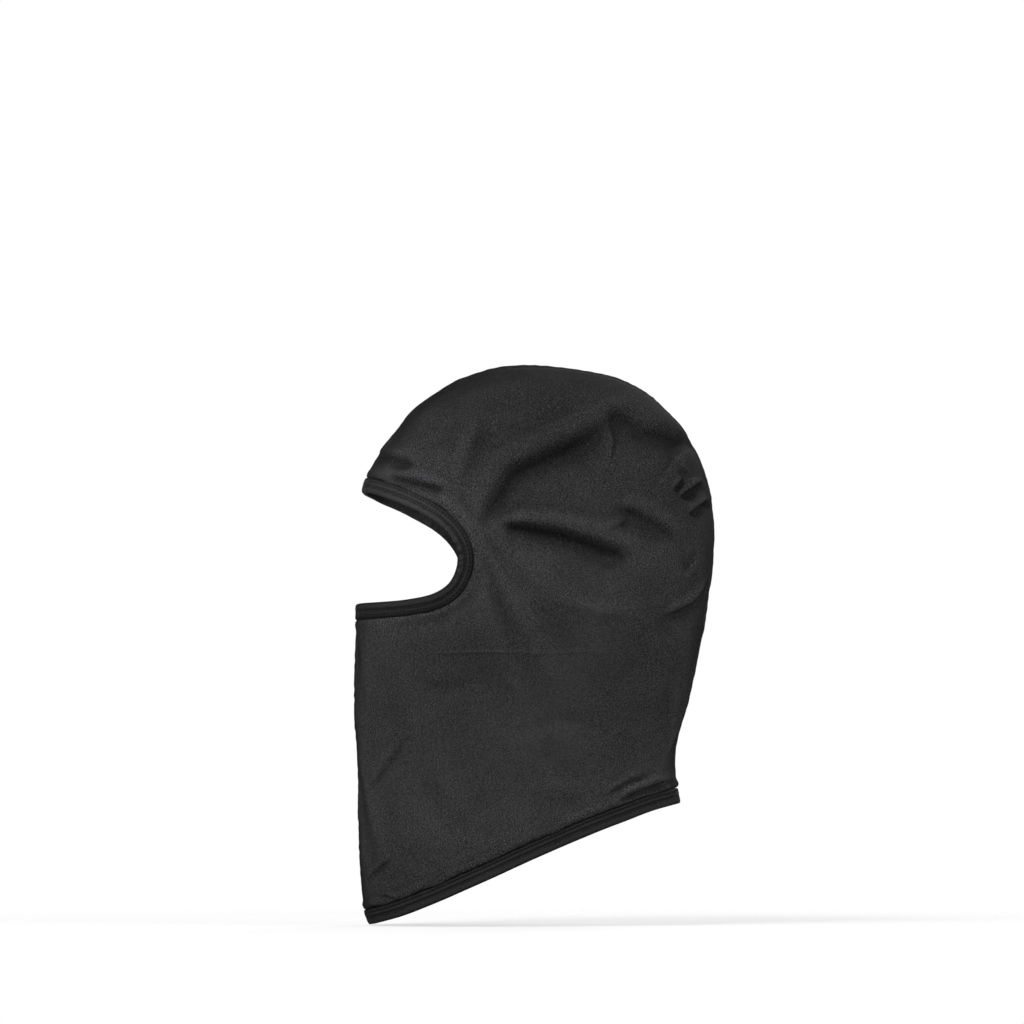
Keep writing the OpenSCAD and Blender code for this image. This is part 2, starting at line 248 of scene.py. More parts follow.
# ------------------------------------------------------------------ meshes from numpy
def make_mesh(name, points, quads, material, uv=None, tris=(), tone=None):
    """points in mm; quads and tris of indices; uv and tone per point, tone being painted light and
    shade.
    """
    mesh = bpy.data.meshes.new(name)
    points = np.ascontiguousarray(points, dtype=np.float32).reshape(-1, 3) * np.float32(MM)
    quads = np.asarray(quads, np.int32).reshape(-1, 4)
    tris = np.asarray(tris, np.int32).reshape(-1, 3)
    loops = np.concatenate([quads.ravel(), tris.ravel()])
    starts = np.concatenate([np.arange(len(quads)) * 4, len(quads) * 4 + np.arange(len(tris)) * 3])
    mesh.vertices.add(len(points))
    mesh.vertices.foreach_set("co", points.ravel())
    mesh.loops.add(len(loops))
    mesh.loops.foreach_set("vertex_index", loops.astype(np.int32))
    mesh.polygons.add(len(starts))
    mesh.polygons.foreach_set("loop_start", starts.astype(np.int32))
    if uv is not None:
        layer = mesh.uv_layers.new(name="cloth")
        layer.data.foreach_set("uv", np.asarray(uv, np.float32).reshape(-1, 2)[loops].ravel())
    if tone is not None:
        layer = mesh.attributes.new("tone", "FLOAT", "POINT")
        layer.data.foreach_set("value", np.ascontiguousarray(tone, dtype=np.float32).ravel())
    mesh.update(calc_edges=True)
    mesh.polygons.foreach_set("use_smooth", np.full(len(starts), True))
    mesh.materials.append(material)
    piece = bpy.data.objects.new(name, mesh)
    bpy.context.scene.collection.objects.link(piece)
    return piece


def closed_mesh(*args, **options):
    """A closed piece whose faces all point out."""
    piece = make_mesh(*args, **options)
    work = bmesh.new()
    work.from_mesh(piece.data)
    bmesh.ops.recalc_face_normals(work, faces=work.faces)
    work.to_mesh(piece.data)
    work.free()
    piece.data.update()
    return piece


def ring_quads(count, size, looped=True, closed=True):
    """Faces between count rings of size points. looped joins last ring to first."""
    i = np.arange(count if looped else count - 1)[:, None]
    j = np.arange(size if closed else size - 1)[None, :]
    here, after = i * size, ((i + 1) % count) * size
    beside = (j + 1) % size
    return np.stack([here + j, here + beside, after + beside, after + j], -1).reshape(-1, 4)


def threads(name, paths, radius, sides=6, closed=False):
    """Round threads along paths (thread, point, xyz), capped, or joined end to end if closed."""
    count, length, _ = paths.shape
    if closed:
        tangent = np.roll(paths, -1, 1) - np.roll(paths, 1, 1)
    else:
        tangent = np.gradient(paths, axis=1)
    tangent = unit(tangent)
    helper = np.where(np.abs(tangent[..., :1]) < 0.8, np.array([1.0, 0, 0]), np.array([0, 0, 1.0]))
    across = unit(np.cross(tangent, helper))
    up = np.cross(tangent, across)
    turn = np.arange(sides) / sides * 2 * np.pi
    radii = np.full(length, radius)
    if not closed:
        radii[0] = radii[-1] = radius * 0.55
    spokes = (np.cos(turn)[:, None] * across[:, :, None]
              + np.sin(turn)[:, None] * up[:, :, None])
    points = paths[:, :, None] + radii[None, :, None, None] * spokes
    run = length_along(paths.swapaxes(0, 1)).T
    around = np.broadcast_to(turn / (2 * np.pi), (count, length, sides))
    uv = np.stack(np.broadcast_arrays(run[:, :, None], around), -1)
    firsts = (np.arange(count) * length * sides)[:, None, None]
    quads = ring_quads(length, sides, closed)[None] + firsts
    tris = ()
    if not closed:
        fan = np.array([[0, j, j + 1] for j in range(1, sides - 1)])
        tris = np.concatenate([fan[:, ::-1], fan + (length - 1) * sides])[None] + firsts
    return closed_mesh(name, points, quads, THREAD, uv, tris)


# ------------------------------------------------------------------ relief of the cloth
swell = Waves(11, 70, 150)
ripple = Waves(12, 24, 60)
crumple = Waves(13, 9, 20)
edge_gather = (Waves(21, 5.5, 13, 1), Waves(22, 6, 15, 1))      # face edge, hem
edge_wander = (Waves(23, 25, 60, 1), Waves(24, 30, 80, 1))
seam_pucker = Waves(25, 5, 11, 1)
seam_lean = Waves(26, 18, 50, 1)

# Folds by side, 1 left and -1 right. Columns: [y, z] stations along the steep slope, depth,
# width, taper at each end as a share of the length, then options of fold().
FOLDS = {
    1: [
        ([(-39.5,255), (-31,273), (-20,291.5), (-13,300.5), (5,309), (25,318.5), (41,329),
          (53,339), (62,345)], 6.2, 11.0, (0.2, 0.33), dict(hill=0.4, long=1.6)),
        ([(44,338.5), (54,340), (63,338), (76.4,329.5), (89.8,327), (103,322.5), (110,316)],
         6.2, 9.6, (0.2, 0.2), dict(hill=0.3, long=2.0)),
        ([(-23,264.5), (-4,262.5), (18.3,258), (36,252.5), (51.8,247), (71,243)],
         6.0, 9.0, (0.13, 0.25), dict(hill=0.55, grow=(0.6, 1.4), long=2.0)),
        ([(44,257), (54,262), (66,268.5)], 1.4, 3.8, (0.4, 0.4), {}),
        ([(52,277), (69.6,271.5), (85.3,262.4), (97.5,252.5)], 3.2, 6.4, (0.3, 0.3), dict(hill=0.6)),
        ([(92,287), (96.5,291), (100.5,297)], 2.4, 2.5, (0.35, 0.3), dict(hill=0.8)),
        ([(97,282.5), (105,288.5), (114,295)], 4.2, 3.1, (0.3, 0.2), dict(hill=0.9, long=1.2)),
        ([(103,271.5), (110,277), (117,283)], 3.8, 3.1, (0.3, 0.2), dict(hill=0.8, long=1.3)),
        ([(96,303.5), (100.5,301), (105,296.5)], 1.0, 2.0, (0.4, 0.4), dict(hill=0.7)),
        ([(-105,314.5), (-95,310.5), (-86,307.5), (-75,305)],
         3.6, 4.4, (0.15, 0.4), dict(hill=0.1, long=1.1)),
        ([(-98,297.5), (-86,294), (-71,290), (-54,285.5)],
         5.0, 5.2, (0.25, 0.35), dict(hill=0.3, long=1.2)),
        ([(-34,338), (-39.5,318), (-46,301), (-52,288)], 2.2, 6.2, (0.35, 0.35), dict(flip=-1)),
        ([(117.5,232), (112,221), (104.5,212.5), (93,206.5), (82,203)],
         3.3, 4.2, (0.3, 0.4), dict(flip=-1, hill=0.6)),
        ([(109,246), (104,238), (99,229)], 1.3, 2.8, (0.35, 0.35), {}),
        ([(54,81), (66,87.2), (78.6,91.8), (88,95), (96,96)],
         4.0, 3.6, (0.3, 0.35), dict(hill=0.3, long=1.2)),
        ([(44,84), (56,91.5), (68,97.5), (83,103)], 1.8, 2.8, (0.35, 0.35), dict(hill=0.3, long=1.3)),
        ([(88,112), (90,132), (92,156), (91,168)], 1.2, 4.5, (0.3, 0.35), dict(flip=-1)),
        ([(-114,84), (-104,97), (-92.5,112), (-84,128)], 1.4, 3.8, (0.3, 0.45), {}),
        ([(-112,28), (-102,37.5), (-91,46)], 1.3, 3.0, (0.3, 0.45), {}),
        ([(-103,19.5), (-95,19), (-88,16)], 1.0, 2.0, (0.35, 0.4), {}),
        ([(-64,210), (-48,219), (-36,232)], 1.1, 4.6, (0.4, 0.4), dict(flip=-1)),
        ([(-100,205), (-84,206), (-68,211)], 0.9, 3.2, (0.3, 0.4), {}),
        ([(-88,168), (-60,160), (-28,163)], 0.7, 7.0, (0.4, 0.4), {}),
        ([(10,214), (40,205), (74,203)], 0.9, 7.0, (0.4, 0.4), {}),
        ([(-20,120), (16,132), (50,128)], 0.8, 8.0, (0.4, 0.4), dict(flip=-1)),
        ([(-66,60), (-50,74), (-30,92)], 0.6, 6.0, (0.4, 0.4), {}),
    ],
    -1: [
        ([(-42,252), (-30,268), (-14,282), (4,290), (24,300), (42,314)],
         3.9, 7.6, (0.2, 0.25), dict(hill=0.4, long=1.6)),
        ([(44,329), (56,332), (68,329), (84,319), (98,309)],
         3.6, 7.2, (0.25, 0.2), dict(hill=0.35, long=2.3)),
        ([(-26,245), (-6,243), (14,236), (34,230), (58,229)],
         3.9, 6.4, (0.1, 0.35), dict(hill=0.7, grow=(0.75, 1.3), long=2.4)),
        ([(66,264), (84,257), (97,245)], 1.6, 4.2, (0.3, 0.3), {}),
        ([(96,276), (105,283), (114,291)], 1.9, 2.5, (0.3, 0.2), dict(hill=0.85, long=1.3)),
        ([(100,261), (109,268), (117,276)], 1.6, 2.5, (0.3, 0.2), dict(hill=0.7, long=1.3)),
        ([(92,293), (97,299), (101,305)], 1.1, 2.2, (0.35, 0.35), dict(hill=0.7)),
        ([(-95,303), (-82,300), (-69,293)], 2.0, 3.4, (0.3, 0.4), dict(hill=0.8)),
        ([(-104,313), (-94,318), (-83,319)], 1.3, 3.2, (0.3, 0.4), dict(hill=0.7)),
        ([(-38,342), (-44,320), (-53,303)], 1.4, 5.0, (0.35, 0.35), dict(flip=-1)),
        ([(115,228), (105,213), (93,203), (80,198)], 2.1, 3.6, (0.25, 0.4), dict(hill=0.8)),
        ([(66,91), (78,95), (93,97)], 1.7, 2.7, (0.3, 0.2), dict(hill=0.6)),
        ([(30,75), (44,83), (60,87)], 1.2, 2.9, (0.3, 0.35), {}),
        ([(86,124), (89,146), (88,166)], 1.2, 4.6, (0.3, 0.35), dict(flip=-1)),
        ([(-113,104), (-100,118), (-88,130)], 1.4, 3.8, (0.3, 0.4), {}),
        ([(-108,36), (-94,46), (-82,50)], 1.2, 3.2, (0.3, 0.4), {}),
        ([(-84,180), (-50,170), (-20,176)], 0.9, 6.5, (0.4, 0.4), {}),
        ([(0,196), (34,188), (64,194)], 0.9, 7.0, (0.4, 0.4), {}),
        ([(-60,66), (-38,84), (-10,100)], 0.7, 6.0, (0.4, 0.4), {}),
    ],
}
# fine creases left by packing: [y, z] stations, height, half width
CREASES = {
    1: [
        ([(-74,179.2), (-30,180.2), (10,179.6), (52,180.4)], 0.60, 0.8),
        ([(-47.6,160), (-48.4,184), (-46,206)], 0.42, 0.8),
        ([(0.5,326.3), (22,333), (40.5,340.5), (58,351)], 0.60, 0.8),
        ([(-24,328.8), (-12,327.6), (0,325.2)], -0.60, 0.8),
        ([(20,318), (32,327), (44,344)], 0.22, 0.9),
        ([(-62,346), (-48,339), (-36,326)], 0.24, 0.9),
        ([(-104,128), (-84,124), (-58,127)], 0.16, 0.9),
        ([(30,146), (48,152), (80,150)], -0.16, 0.9),
    ],
    -1: [
        ([(-70,178.4), (-26,179.8), (16,179.2), (60,180.8)], 0.28, 0.75),
        ([(-40,156), (-41,182), (-38,204)], 0.2, 0.8),
        ([(-8,322), (18,331), (44,343)], 0.32, 0.8),
        ([(-58,340), (-42,332), (-30,318)], -0.28, 0.9),
        ([(10,130), (36,138), (70,136)], 0.18, 0.9),
    ],
}
# painted shadows where a fold lies pressed on its neighbour: [y, z] stations, darkness, half width
PAINTED_SHADOWS = {
    1: [
        ([(54,80.5), (66,86), (78,90.5), (88,93.5), (96,93.5)], 0.50, 2.7),
        ([(-96,296), (-85,292.5), (-72,289), (-57,284.5)], 0.34, 3.2),
        ([(-104,313.5), (-93,309.5), (-79,305.5)], 0.28, 2.6),
    ],
    -1: [([(58,82), (72,88.5), (90,93)], 0.40, 2.6)],
}


def smooth_line(stations, count):
    """Catmull-Rom through stations."""
    knots = np.array(stations, float)
    knots = np.vstack([2 * knots[0] - knots[1], knots, 2 * knots[-1] - knots[-2]])
    place = np.linspace(0, len(stations) - 1 - 1e-9, count)
    i = place.astype(int)
    part = (place - i)[:, None]
    a, b, c, d = knots[i], knots[i + 1], knots[i + 2], knots[i + 3]
    return 0.5 * (2 * b + (c - a) * part + (2 * a - 5 * b + 4 * c - d) * part ** 2
                  + (3 * b - a - 3 * c + d) * part ** 3)


def nearest(y, z, line):
    """Distance to a line, offset to its right, and its place by length and by step, 0 to 1."""
    run = length_along(line)
    best = np.full(y.shape, 1e9)
    offset, by_length, by_step = (np.zeros(y.shape) for _ in range(3))
    for k, (start, step) in enumerate(zip(line[:-1], np.diff(line, axis=0))):
        square = step @ step
        part = np.clip(((y - start[0]) * step[0] + (z - start[1]) * step[1]) / square, 0, 1)
        gap_y, gap_z = y - start[0] - part * step[0], z - start[1] - part * step[1]
        distance = np.hypot(gap_y, gap_z)
        closer = distance < best
        chord = math.sqrt(square)
        best = np.where(closer, distance, best)
        offset = np.where(closer, -(step[0] * gap_z - step[1] * gap_y) / chord, offset)
        by_length = np.where(closer, (run[k] + part * chord) / run[-1], by_length)
        by_step = np.where(closer, (k + part) / (len(line) - 1), by_step)
    return best, offset, by_length, by_step


def fold(y, z, stations, depth, width, ends, hill=0.5, flip=1, grow=(1, 1), long=1.7):
    """One fold: a hollow right of the line, fading over long widths, and a hill left of it.
    flip=-1 swaps them. grow scales the width at the two ends."""
    line = smooth_line(stations, 40)
    reach = 5 * width
    near = ((y > line[:, 0].min() - reach) & (y < line[:, 0].max() + reach)
            & (z > line[:, 1].min() - reach) & (z < line[:, 1].max() + reach))
    distance, offset, place, _ = nearest(y[near], z[near], line)
    taper = ease(place / ends[0]) * ease((1 - place) / ends[1])
    scale = grow[0] + (grow[1] - grow[0]) * place
    t = offset * flip / (width * scale * (0.55 + 0.45 * taper))
    drop = ease((t + 0.45) / 0.95)
    hollow = -drop * np.exp(-(np.maximum(t - 0.5, 0) / long) ** 1.6)
    shape = hollow + hill * bell(t, -0.72, 0.72) * (1 - 0.6 * drop)
    found = np.zeros(y.shape)
    found[near] = depth * taper * shape * ease((5 - distance / width) / 1.2)
    return found


def crease(y, z, stations, height, width):
    distance, _, _, place = nearest(y, z, smooth_line(stations, 24))
    return height * bell(distance, 0, width) * ease(place / 0.15) * ease((1 - place) / 0.15)


def relief(points, hand, to_face, face_run, to_hem, hem_run):
    """How far the cloth stands off the smooth form. points are on the left half, hand is
    1 left or -1 right, to_ are distances to the edges and _run places along them."""
    x, y, z = points[..., 0], points[..., 1], points[..., 2]
    handed_x = x * hand
    height = 0.8 * swell(handed_x, y, z) + 0.30 * ripple(handed_x, y, z)
    height = height + 0.08 * crumple(handed_x, y, z) * ease((ripple(y, z, handed_x) + 0.2) / 1.2)
    bound = np.minimum(to_face, to_hem)
    height = height * (0.25 + 0.75 * ease((bound - 8) / 35))
    folds = 0
    for stations, depth, width, ends, options in FOLDS[hand]:
        folds = folds + fold(y, z, stations, depth, width, ends, **options)
    for stations, rise, width in CREASES[hand]:
        folds = folds + crease(y, z, stations, rise, width)
    height = height + folds * ease((x - 1.0) / 9) * ease((bound - 9.3) / 5)
    for edge, depth, run in ((FACE_EDGE, to_face, face_run), (HEM_EDGE, to_hem, hem_run)):
        # the stitching draws the cloth up beside each binding
        gather = edge_gather[edge](run * hand) * (0.35 + 0.65 * ease((run - 30) / 60))
        under = 0.10 + 0.25 * ease(depth / BIND_WIDTH)
        beyond = np.exp(-(np.maximum(depth, BIND_WIDTH) - BIND_WIDTH) / 6.5) * 0.9
        height = height + 0.20 * gather * np.where(depth < BIND_WIDTH, under, beyond)
        height = height + 0.35 * edge_wander[edge](run * hand) * np.exp(-depth / 14)
        # the cloth puffs out beside the binding and dives into a sharp crease at its edge
        puff = 0.85 * bell(depth, 13.4, 2.7) - 0.95 * bell(depth, 10.1, 0.7)
        uneven = 1 + 0.3 * edge_wander[edge](run * hand * 1.7 + 20)
        height = height + puff * ease((depth - 9.3) / 0.5) * uneven
    # the two seams lie in a shallow groove, puckered a little by the overlock
    run, inside = z - y, ease((bound - 6) / 8)
    groove = 0.8 * bell(x, 0, 0.8) + 0.45 * bell(x, 0, 2.8) - 0.30 * bell(x, 5.2, 3)
    height = height - groove * (1 + 0.16 * seam_pucker(run)) * inside
    return height - 0.07 * seam_pucker(run * 0.9 + 50) * bell(x, 0, 7) * inside


# ------------------------------------------------------------------ grid of the side panels
def panel_columns():
    """Angles of the panel's columns, close together at the two seams."""
    angles = 180 * (1 - np.cos(np.pi * np.linspace(0, 1, 6001))) / 2
    run = length_along(skin(0.3, angles))
    near, x, step = [], 0.0, 0.28
    while x < 14:
        near.append(x)
        x += step
        step = min(step * 1.16, 1.3)
    total = run[-1]
    middle = np.linspace(x, total - x, int(round((total - 2 * x) / 1.3)) + 1)
    return np.interp(np.concatenate([near, middle, total - np.array(near[::-1])]), run, angles)


COLUMNS = panel_columns()
COLUMN_COUNT = len(COLUMNS)
ROW_COUNT = 350
# depth of the rows nearest each edge: the first, and the rest from it
FIRST_ROW = 1.6
EDGE_ROWS = (0, 2.4, 5.4, 7.5, 8.1, 8.4, 8.7, 9.0, 9.4, 9.9, 10.5, 11.2, 12.0, 12.9)


def edge_distance(edge, points):
    """Distance from points to an edge, and the nearest place's run from the throat."""
    line = skin(edge, np.linspace(0, 180, 721))
    run = length_along(line)
    tangent = unit(np.gradient(line, axis=0))
    flat = points.reshape(-1, 3)
    closest = np.concatenate([np.argmin((line * line).sum(1)[None] - 2 * part @ line.T, 1)
                              for part in np.array_split(flat, 12)])
    gap = flat - line[closest]
    step = dot(gap, tangent[closest])
    distance = np.sqrt(np.maximum(dot(gap, gap) - step ** 2, 0))
    return distance.reshape(points.shape[:-1]), (run[closest] + step).reshape(points.shape[:-1])


def panel_shares():
    """Shares of the panel's rows at each column. Rows near a binding follow its edge."""
    depths = np.array(EDGE_ROWS) + FIRST_ROW
    trial = np.concatenate([0.16 * np.linspace(0, 1, 150) ** 1.3,
                            np.linspace(0.16, 0.84, 122)[1:-1],
                            1 - 0.16 * np.linspace(1, 0, 150) ** 1.3])
    points = skin(trial[:, None], COLUMNS)
    columns = range(COLUMN_COUNT)

    def insets(edge, near_points, near_trial):
        distance = np.maximum.accumulate(edge_distance(edge, near_points)[0], 0)
        distance = distance + np.arange(200)[:, None] * 1e-6
        return np.stack([np.interp(depths, distance[:, j], near_trial) for j in columns], 1)

    low = insets(FACE_EDGE, points[:200], trial[:200])
    high = (1 - insets(HEM_EDGE, points[:-201:-1], 1 - trial[:-201:-1]))[::-1]
    share = low[-1] + (high[0] - low[-1]) * np.linspace(0, 1, 420)[:, None]
    run = length_along(skin(share, COLUMNS))
    spread = np.linspace(0, 1, ROW_COUNT - 2 * len(depths) + 2)[1:-1]
    middle = np.stack([np.interp(spread * run[-1, j], run[:, j], share[:, j]) for j in columns], 1)
    return np.concatenate([low, middle, high])


def flatten(points):
    """Lays a grid of points flat, its edge lengths nearly kept: the knit follows this."""
    flat = points[..., 1:] * 1.4    # starts stretched, so it draws in without folding over
    rows, columns = points.shape[:2]
    links = []
    for di, dj in ((0, 1), (1, 0), (1, 1), (1, -1), (0, 2), (2, 0)):
        first = (slice(0, rows - di), slice(max(0, -dj), columns - max(0, dj)))
        second = (slice(di, None), slice(max(0, dj), columns + min(0, dj)))
        links.append((first, second, np.linalg.norm(points[first] - points[second], axis=-1)))
    for _ in range(900):
        move = np.zeros_like(flat)
        for first, second, length in links:
            gap = flat[second] - flat[first]
            size = np.maximum(np.linalg.norm(gap, axis=-1), 1e-6)
            pull = (gap / size[..., None]) * ((size - length) * 0.5)[..., None]
            move[first] += pull
            move[second] -= pull
        flat += move / 6
    return flat


def box_blur(values, reach):
    """Mean over a grid's neighbours, three times. reach: rows and columns each way."""
    for _ in range(3):
        for axis in (0, 1):
            r, count = reach[axis], values.shape[axis]
            pad = [(0, 0)] * values.ndim
            pad[axis] = (r + 1, r)
            total = np.cumsum(np.pad(values, pad, mode="edge"), axis=axis)
            upper = np.take(total, np.arange(2 * r + 1, count + 2 * r + 1), axis)
            values = (upper - np.take(total, np.arange(count), axis)) / (2 * r + 1)
    return values


def bilinear(grid, i, next_i, j, row_part, column_part):
    f, g = row_part[..., None], column_part[..., None]
    return (grid[i, j] * (1 - f) * (1 - g) + grid[next_i, j] * f * (1 - g)
            + grid[i, j + 1] * (1 - f) * g + grid[next_i, j + 1] * f * g)


def resample(grid, rows, columns):
    """Values at every crossing of fractional rows and columns."""
    row, column = np.meshgrid(rows, columns, indexing="ij")
    i = np.clip(row.astype(int), 0, grid.shape[0] - 2)
    j = np.clip(column.astype(int), 0, grid.shape[1] - 2)
    return bilinear(grid, i, i + 1, j, row - i, column - j)


# the left panel's smooth form, its distances to the edges, and the cloth laid flat
SHARES = panel_shares()
FORM = skin(SHARES, COLUMNS)
FORM_NORMAL = skin_normal(SHARES, COLUMNS)
TO_FACE, FACE_RUN = edge_distance(FACE_EDGE, FORM)
TO_HEM, HEM_RUN = edge_distance(HEM_EDGE, FORM)
BOUND = np.minimum(TO_FACE, TO_HEM)
FLAT_ROWS, FLAT_COLUMNS = 70, 56
FLAT = resample(
    flatten(resample(FORM, np.linspace(0, ROW_COUNT - 1, FLAT_ROWS),
                     np.linspace(0, COLUMN_COUNT - 1, FLAT_COLUMNS))),
    np.arange(ROW_COUNT) / (ROW_COUNT - 1) * (FLAT_ROWS - 1),
    np.arange(COLUMN_COUNT) / (COLUMN_COUNT - 1) * (FLAT_COLUMNS - 1))

# ------------------------------------------------------------------ settling the cloth
SLACK = 0.009       # how much longer the knit is than its form
SETTLE = 26         # frames
GRIP = 0.06         # how firmly the form holds the cloth between its seams
MOVE_CAP = 2.6      # mm


def settle(form, hold):
    """Runs Blender's Cloth on a grid of points and returns where they come to rest."""
    piece = make_mesh("drape_form", form, ring_quads(*form.shape[:2], False, False), JERSEY)
    pins = piece.vertex_groups.new(name="sewn")
    for k, weight in enumerate(hold.reshape(-1)):
        pins.add([k], float(weight), "REPLACE")
    modifier = piece.modifiers.new("settle", "CLOTH")
    cloth, scene = modifier.settings, bpy.context.scene
    cloth.quality = 7
    cloth.mass = 0.16
    cloth.air_damping = 2.5
    cloth.tension_stiffness = cloth.compression_stiffness = 12
    cloth.shear_stiffness = 4
    cloth.bending_stiffness = 0.06
    cloth.vertex_group_mass = "sewn"
    cloth.pin_stiffness = 0.6
    cloth.shrink_min = cloth.shrink_max = -SLACK
    cloth.use_pressure = True
    cloth.uniform_pressure_force = 0.15
    cloth.effector_weights.gravity = 0.30
    modifier.collision_settings.use_collision = False
    modifier.collision_settings.use_self_collision = False
    modifier.point_cache.frame_start, modifier.point_cache.frame_end = 1, SETTLE
    for frame in range(1, SETTLE + 1):
        scene.frame_set(frame)
    settled = piece.evaluated_get(bpy.context.evaluated_depsgraph_get()).to_mesh()
    rest = np.zeros(len(settled.vertices) * 3, np.float32)
    settled.vertices.foreach_get("co", rest)
    scene.frame_set(1)
    bpy.data.objects.remove(piece, do_unlink=True)
    return rest.reshape(form.shape).astype(float) / MM


def drape(height):
    """How far every point of a panel moves when the slack knit, sewn down along its bindings
    and seams, settles into small folds."""
    run = length_along(FORM[ROW_COUNT // 2])
    rows = np.concatenate([[0, 7], np.linspace(13, ROW_COUNT - 14, 104),
                           [ROW_COUNT - 8, ROW_COUNT - 1]])
    columns = np.interp(np.linspace(0, run[-1], 92), run, np.arange(COLUMN_COUNT))
    start = resample(FORM + FORM_NORMAL * height[..., None], rows, columns)
    bound = resample(BOUND[..., None], rows, columns)[..., 0]
    hold = np.maximum(1 - ease((bound - 10.5) / 16), 1 - ease((start[..., 0] - 2.5) / 12))
    hold = np.maximum(hold, GRIP)
    move = settle(start, hold) - start
    move = move * (1 - np.clip((hold - GRIP) / (1 - GRIP), 0, 1) ** 2)[..., None]
    size = np.linalg.norm(move, axis=-1, keepdims=True)
    move = move * (MOVE_CAP * np.tanh(size / MOVE_CAP) / np.maximum(size, 1e-6))
    # back on the fine grid, then smoothed
    full = resample(move, np.interp(np.arange(ROW_COUNT), rows, np.arange(len(rows))),
                    np.interp(np.arange(COLUMN_COUNT), columns, np.arange(len(columns))))
    for _ in range(3):
        full[1:-1] = (full[:-2] + 2 * full[1:-1] + full[2:]) / 4
        full[:, 1:-1] = (full[:, :-2] + 2 * full[:, 1:-1] + full[:, 2:]) / 4
    full -= 0.85 * box_blur(full, (13, 8))     # keeps the small folds, drops the form's drift
    calm_neck = 1 - 0.6 * ease((205 - FORM[..., 2]) / 60)
    full *= (ease((BOUND - 10.5) / 6) * calm_neck)[..., None]
    return full


# ------------------------------------------------------------------ side panels
ALLOWANCE_POINTS = 7
INNER_COLUMNS = np.arange(COLUMN_COUNT - 9, 8, -2)     # columns kept on the panel's inner face


def seam_shift(run, depth):
    """The raw edges inside a seam lean a little to one side or the other."""
    return 1.1 * (np.clip(depth, 0, 7) / 6.1) ** 2 * seam_lean(run)


def allowance(column, hand, points):
    """Seam allowance at one end of the panel: down its outer side, across, and back up."""
    line, normal = FORM[:, column], FORM_NORMAL[:, column]
    run = line[:, 2] - line[:, 1]
    top = dot(line - points[:, column], normal)
    under = top + CLOTH * 0.9
    # less deep near a binding
    deep = CLOTH + 0.02 + 5.0 * ease((BOUND[:, column] - 10.2) / 9)
    deep = np.maximum(deep, under + 0.12)

    def row(x, depth):
        x = x + seam_shift(run, depth) * hand
        return np.stack([x, *(line - depth[:, None] * normal)[:, 1:].T], -1)

    return ([row(HALF_GAP, top + (deep - top) * part) for part in (0.33, 0.66, 1.0)]
            + [row(ALLOWANCE_SIDE, under + (deep - under) * part)
               for part in (1.0, 0.66, 0.33, 0.0)])


def end_strip():
    """Triangles that close a panel's end between its two faces."""
    last_column = COLUMN_COUNT - 1
    first = COLUMN_COUNT + ALLOWANCE_POINTS     # first point of the inner face
    last = first + len(INNER_COLUMNS) - 1
    base = last + 1                             # first point of the throat allowance
    low, high = INNER_COLUMNS[-1], INNER_COLUMNS[0]
    crown_end = [(-1, 0, 6), (0, 5, 6), (0, 1, 5), (1, 4, 5), (1, 2, 4), (2, 3, 4)]
    throat_end = [(6, 0, 1), (5, 6, 1), (5, 1, 2), (4, 5, 2), (4, 2, 3)]
    strip = [tuple(COLUMN_COUNT + k for k in corner) for corner in crown_end]
    strip += [(j, j + 1, COLUMN_COUNT + 6) for j in range(high, last_column)]
    strip += [(high, COLUMN_COUNT + 6, first)]
    for k, column in enumerate(INNER_COLUMNS[:-1]):
        inner = first + k
        strip += [(column - 1, column, inner), (column - 2, column - 1, inner + 1),
                  (column - 1, inner, inner + 1)]
    strip += [(low, last, base)] + [(j - 1, j, base) for j in range(low, 0, -1)]
    strip += [(base + 6, 0, base)] + [tuple(base + k for k in corner) for corner in throat_end]
    return np.array(strip)


def painted_panel_shading(hand, lie):
    """Painted light and shade of the outer face. lie is how far it stands off the smooth form."""
    y, z = FORM[..., 1], FORM[..., 2]
    # painted shade in the hollows and painted highlight on the crests
    hollow = np.clip((box_blur(lie, (4, 4)) - lie) / 0.9, -0.8, 1.4) * ease((BOUND - 12) / 6)
    # painted light and shade: darker at the crown and the neck, a little lighter at the front and
    # towards the back, to even out how the lamps fall
    painted_light_and_shade = (1.14 - 0.50 * ease((z - 205) / 120) - 0.32 * ease((85 - z) / 60)
           + 0.05 * ease((-50 - y) / 30))
    painted_light_and_shade = painted_light_and_shade + 0.16 * ease((y - 20) / 70) * (1 - 0.3 * ease((z - 300) / 40))
    # painted shadows where folds lie pressed together
    for stations, darkness, width in PAINTED_SHADOWS[hand]:
        painted_light_and_shade = painted_light_and_shade - crease(y, z, stations, darkness, width)
    # painted shade in the crease beside a binding, deeper at the hem than at the face
    return (painted_light_and_shade * (1 - 0.26 * hollow) * (1 - 0.74 * ease((11.4 - TO_HEM) / 1.2))
            * (1 - 0.50 * ease((11.2 - TO_FACE) / 1.2)))


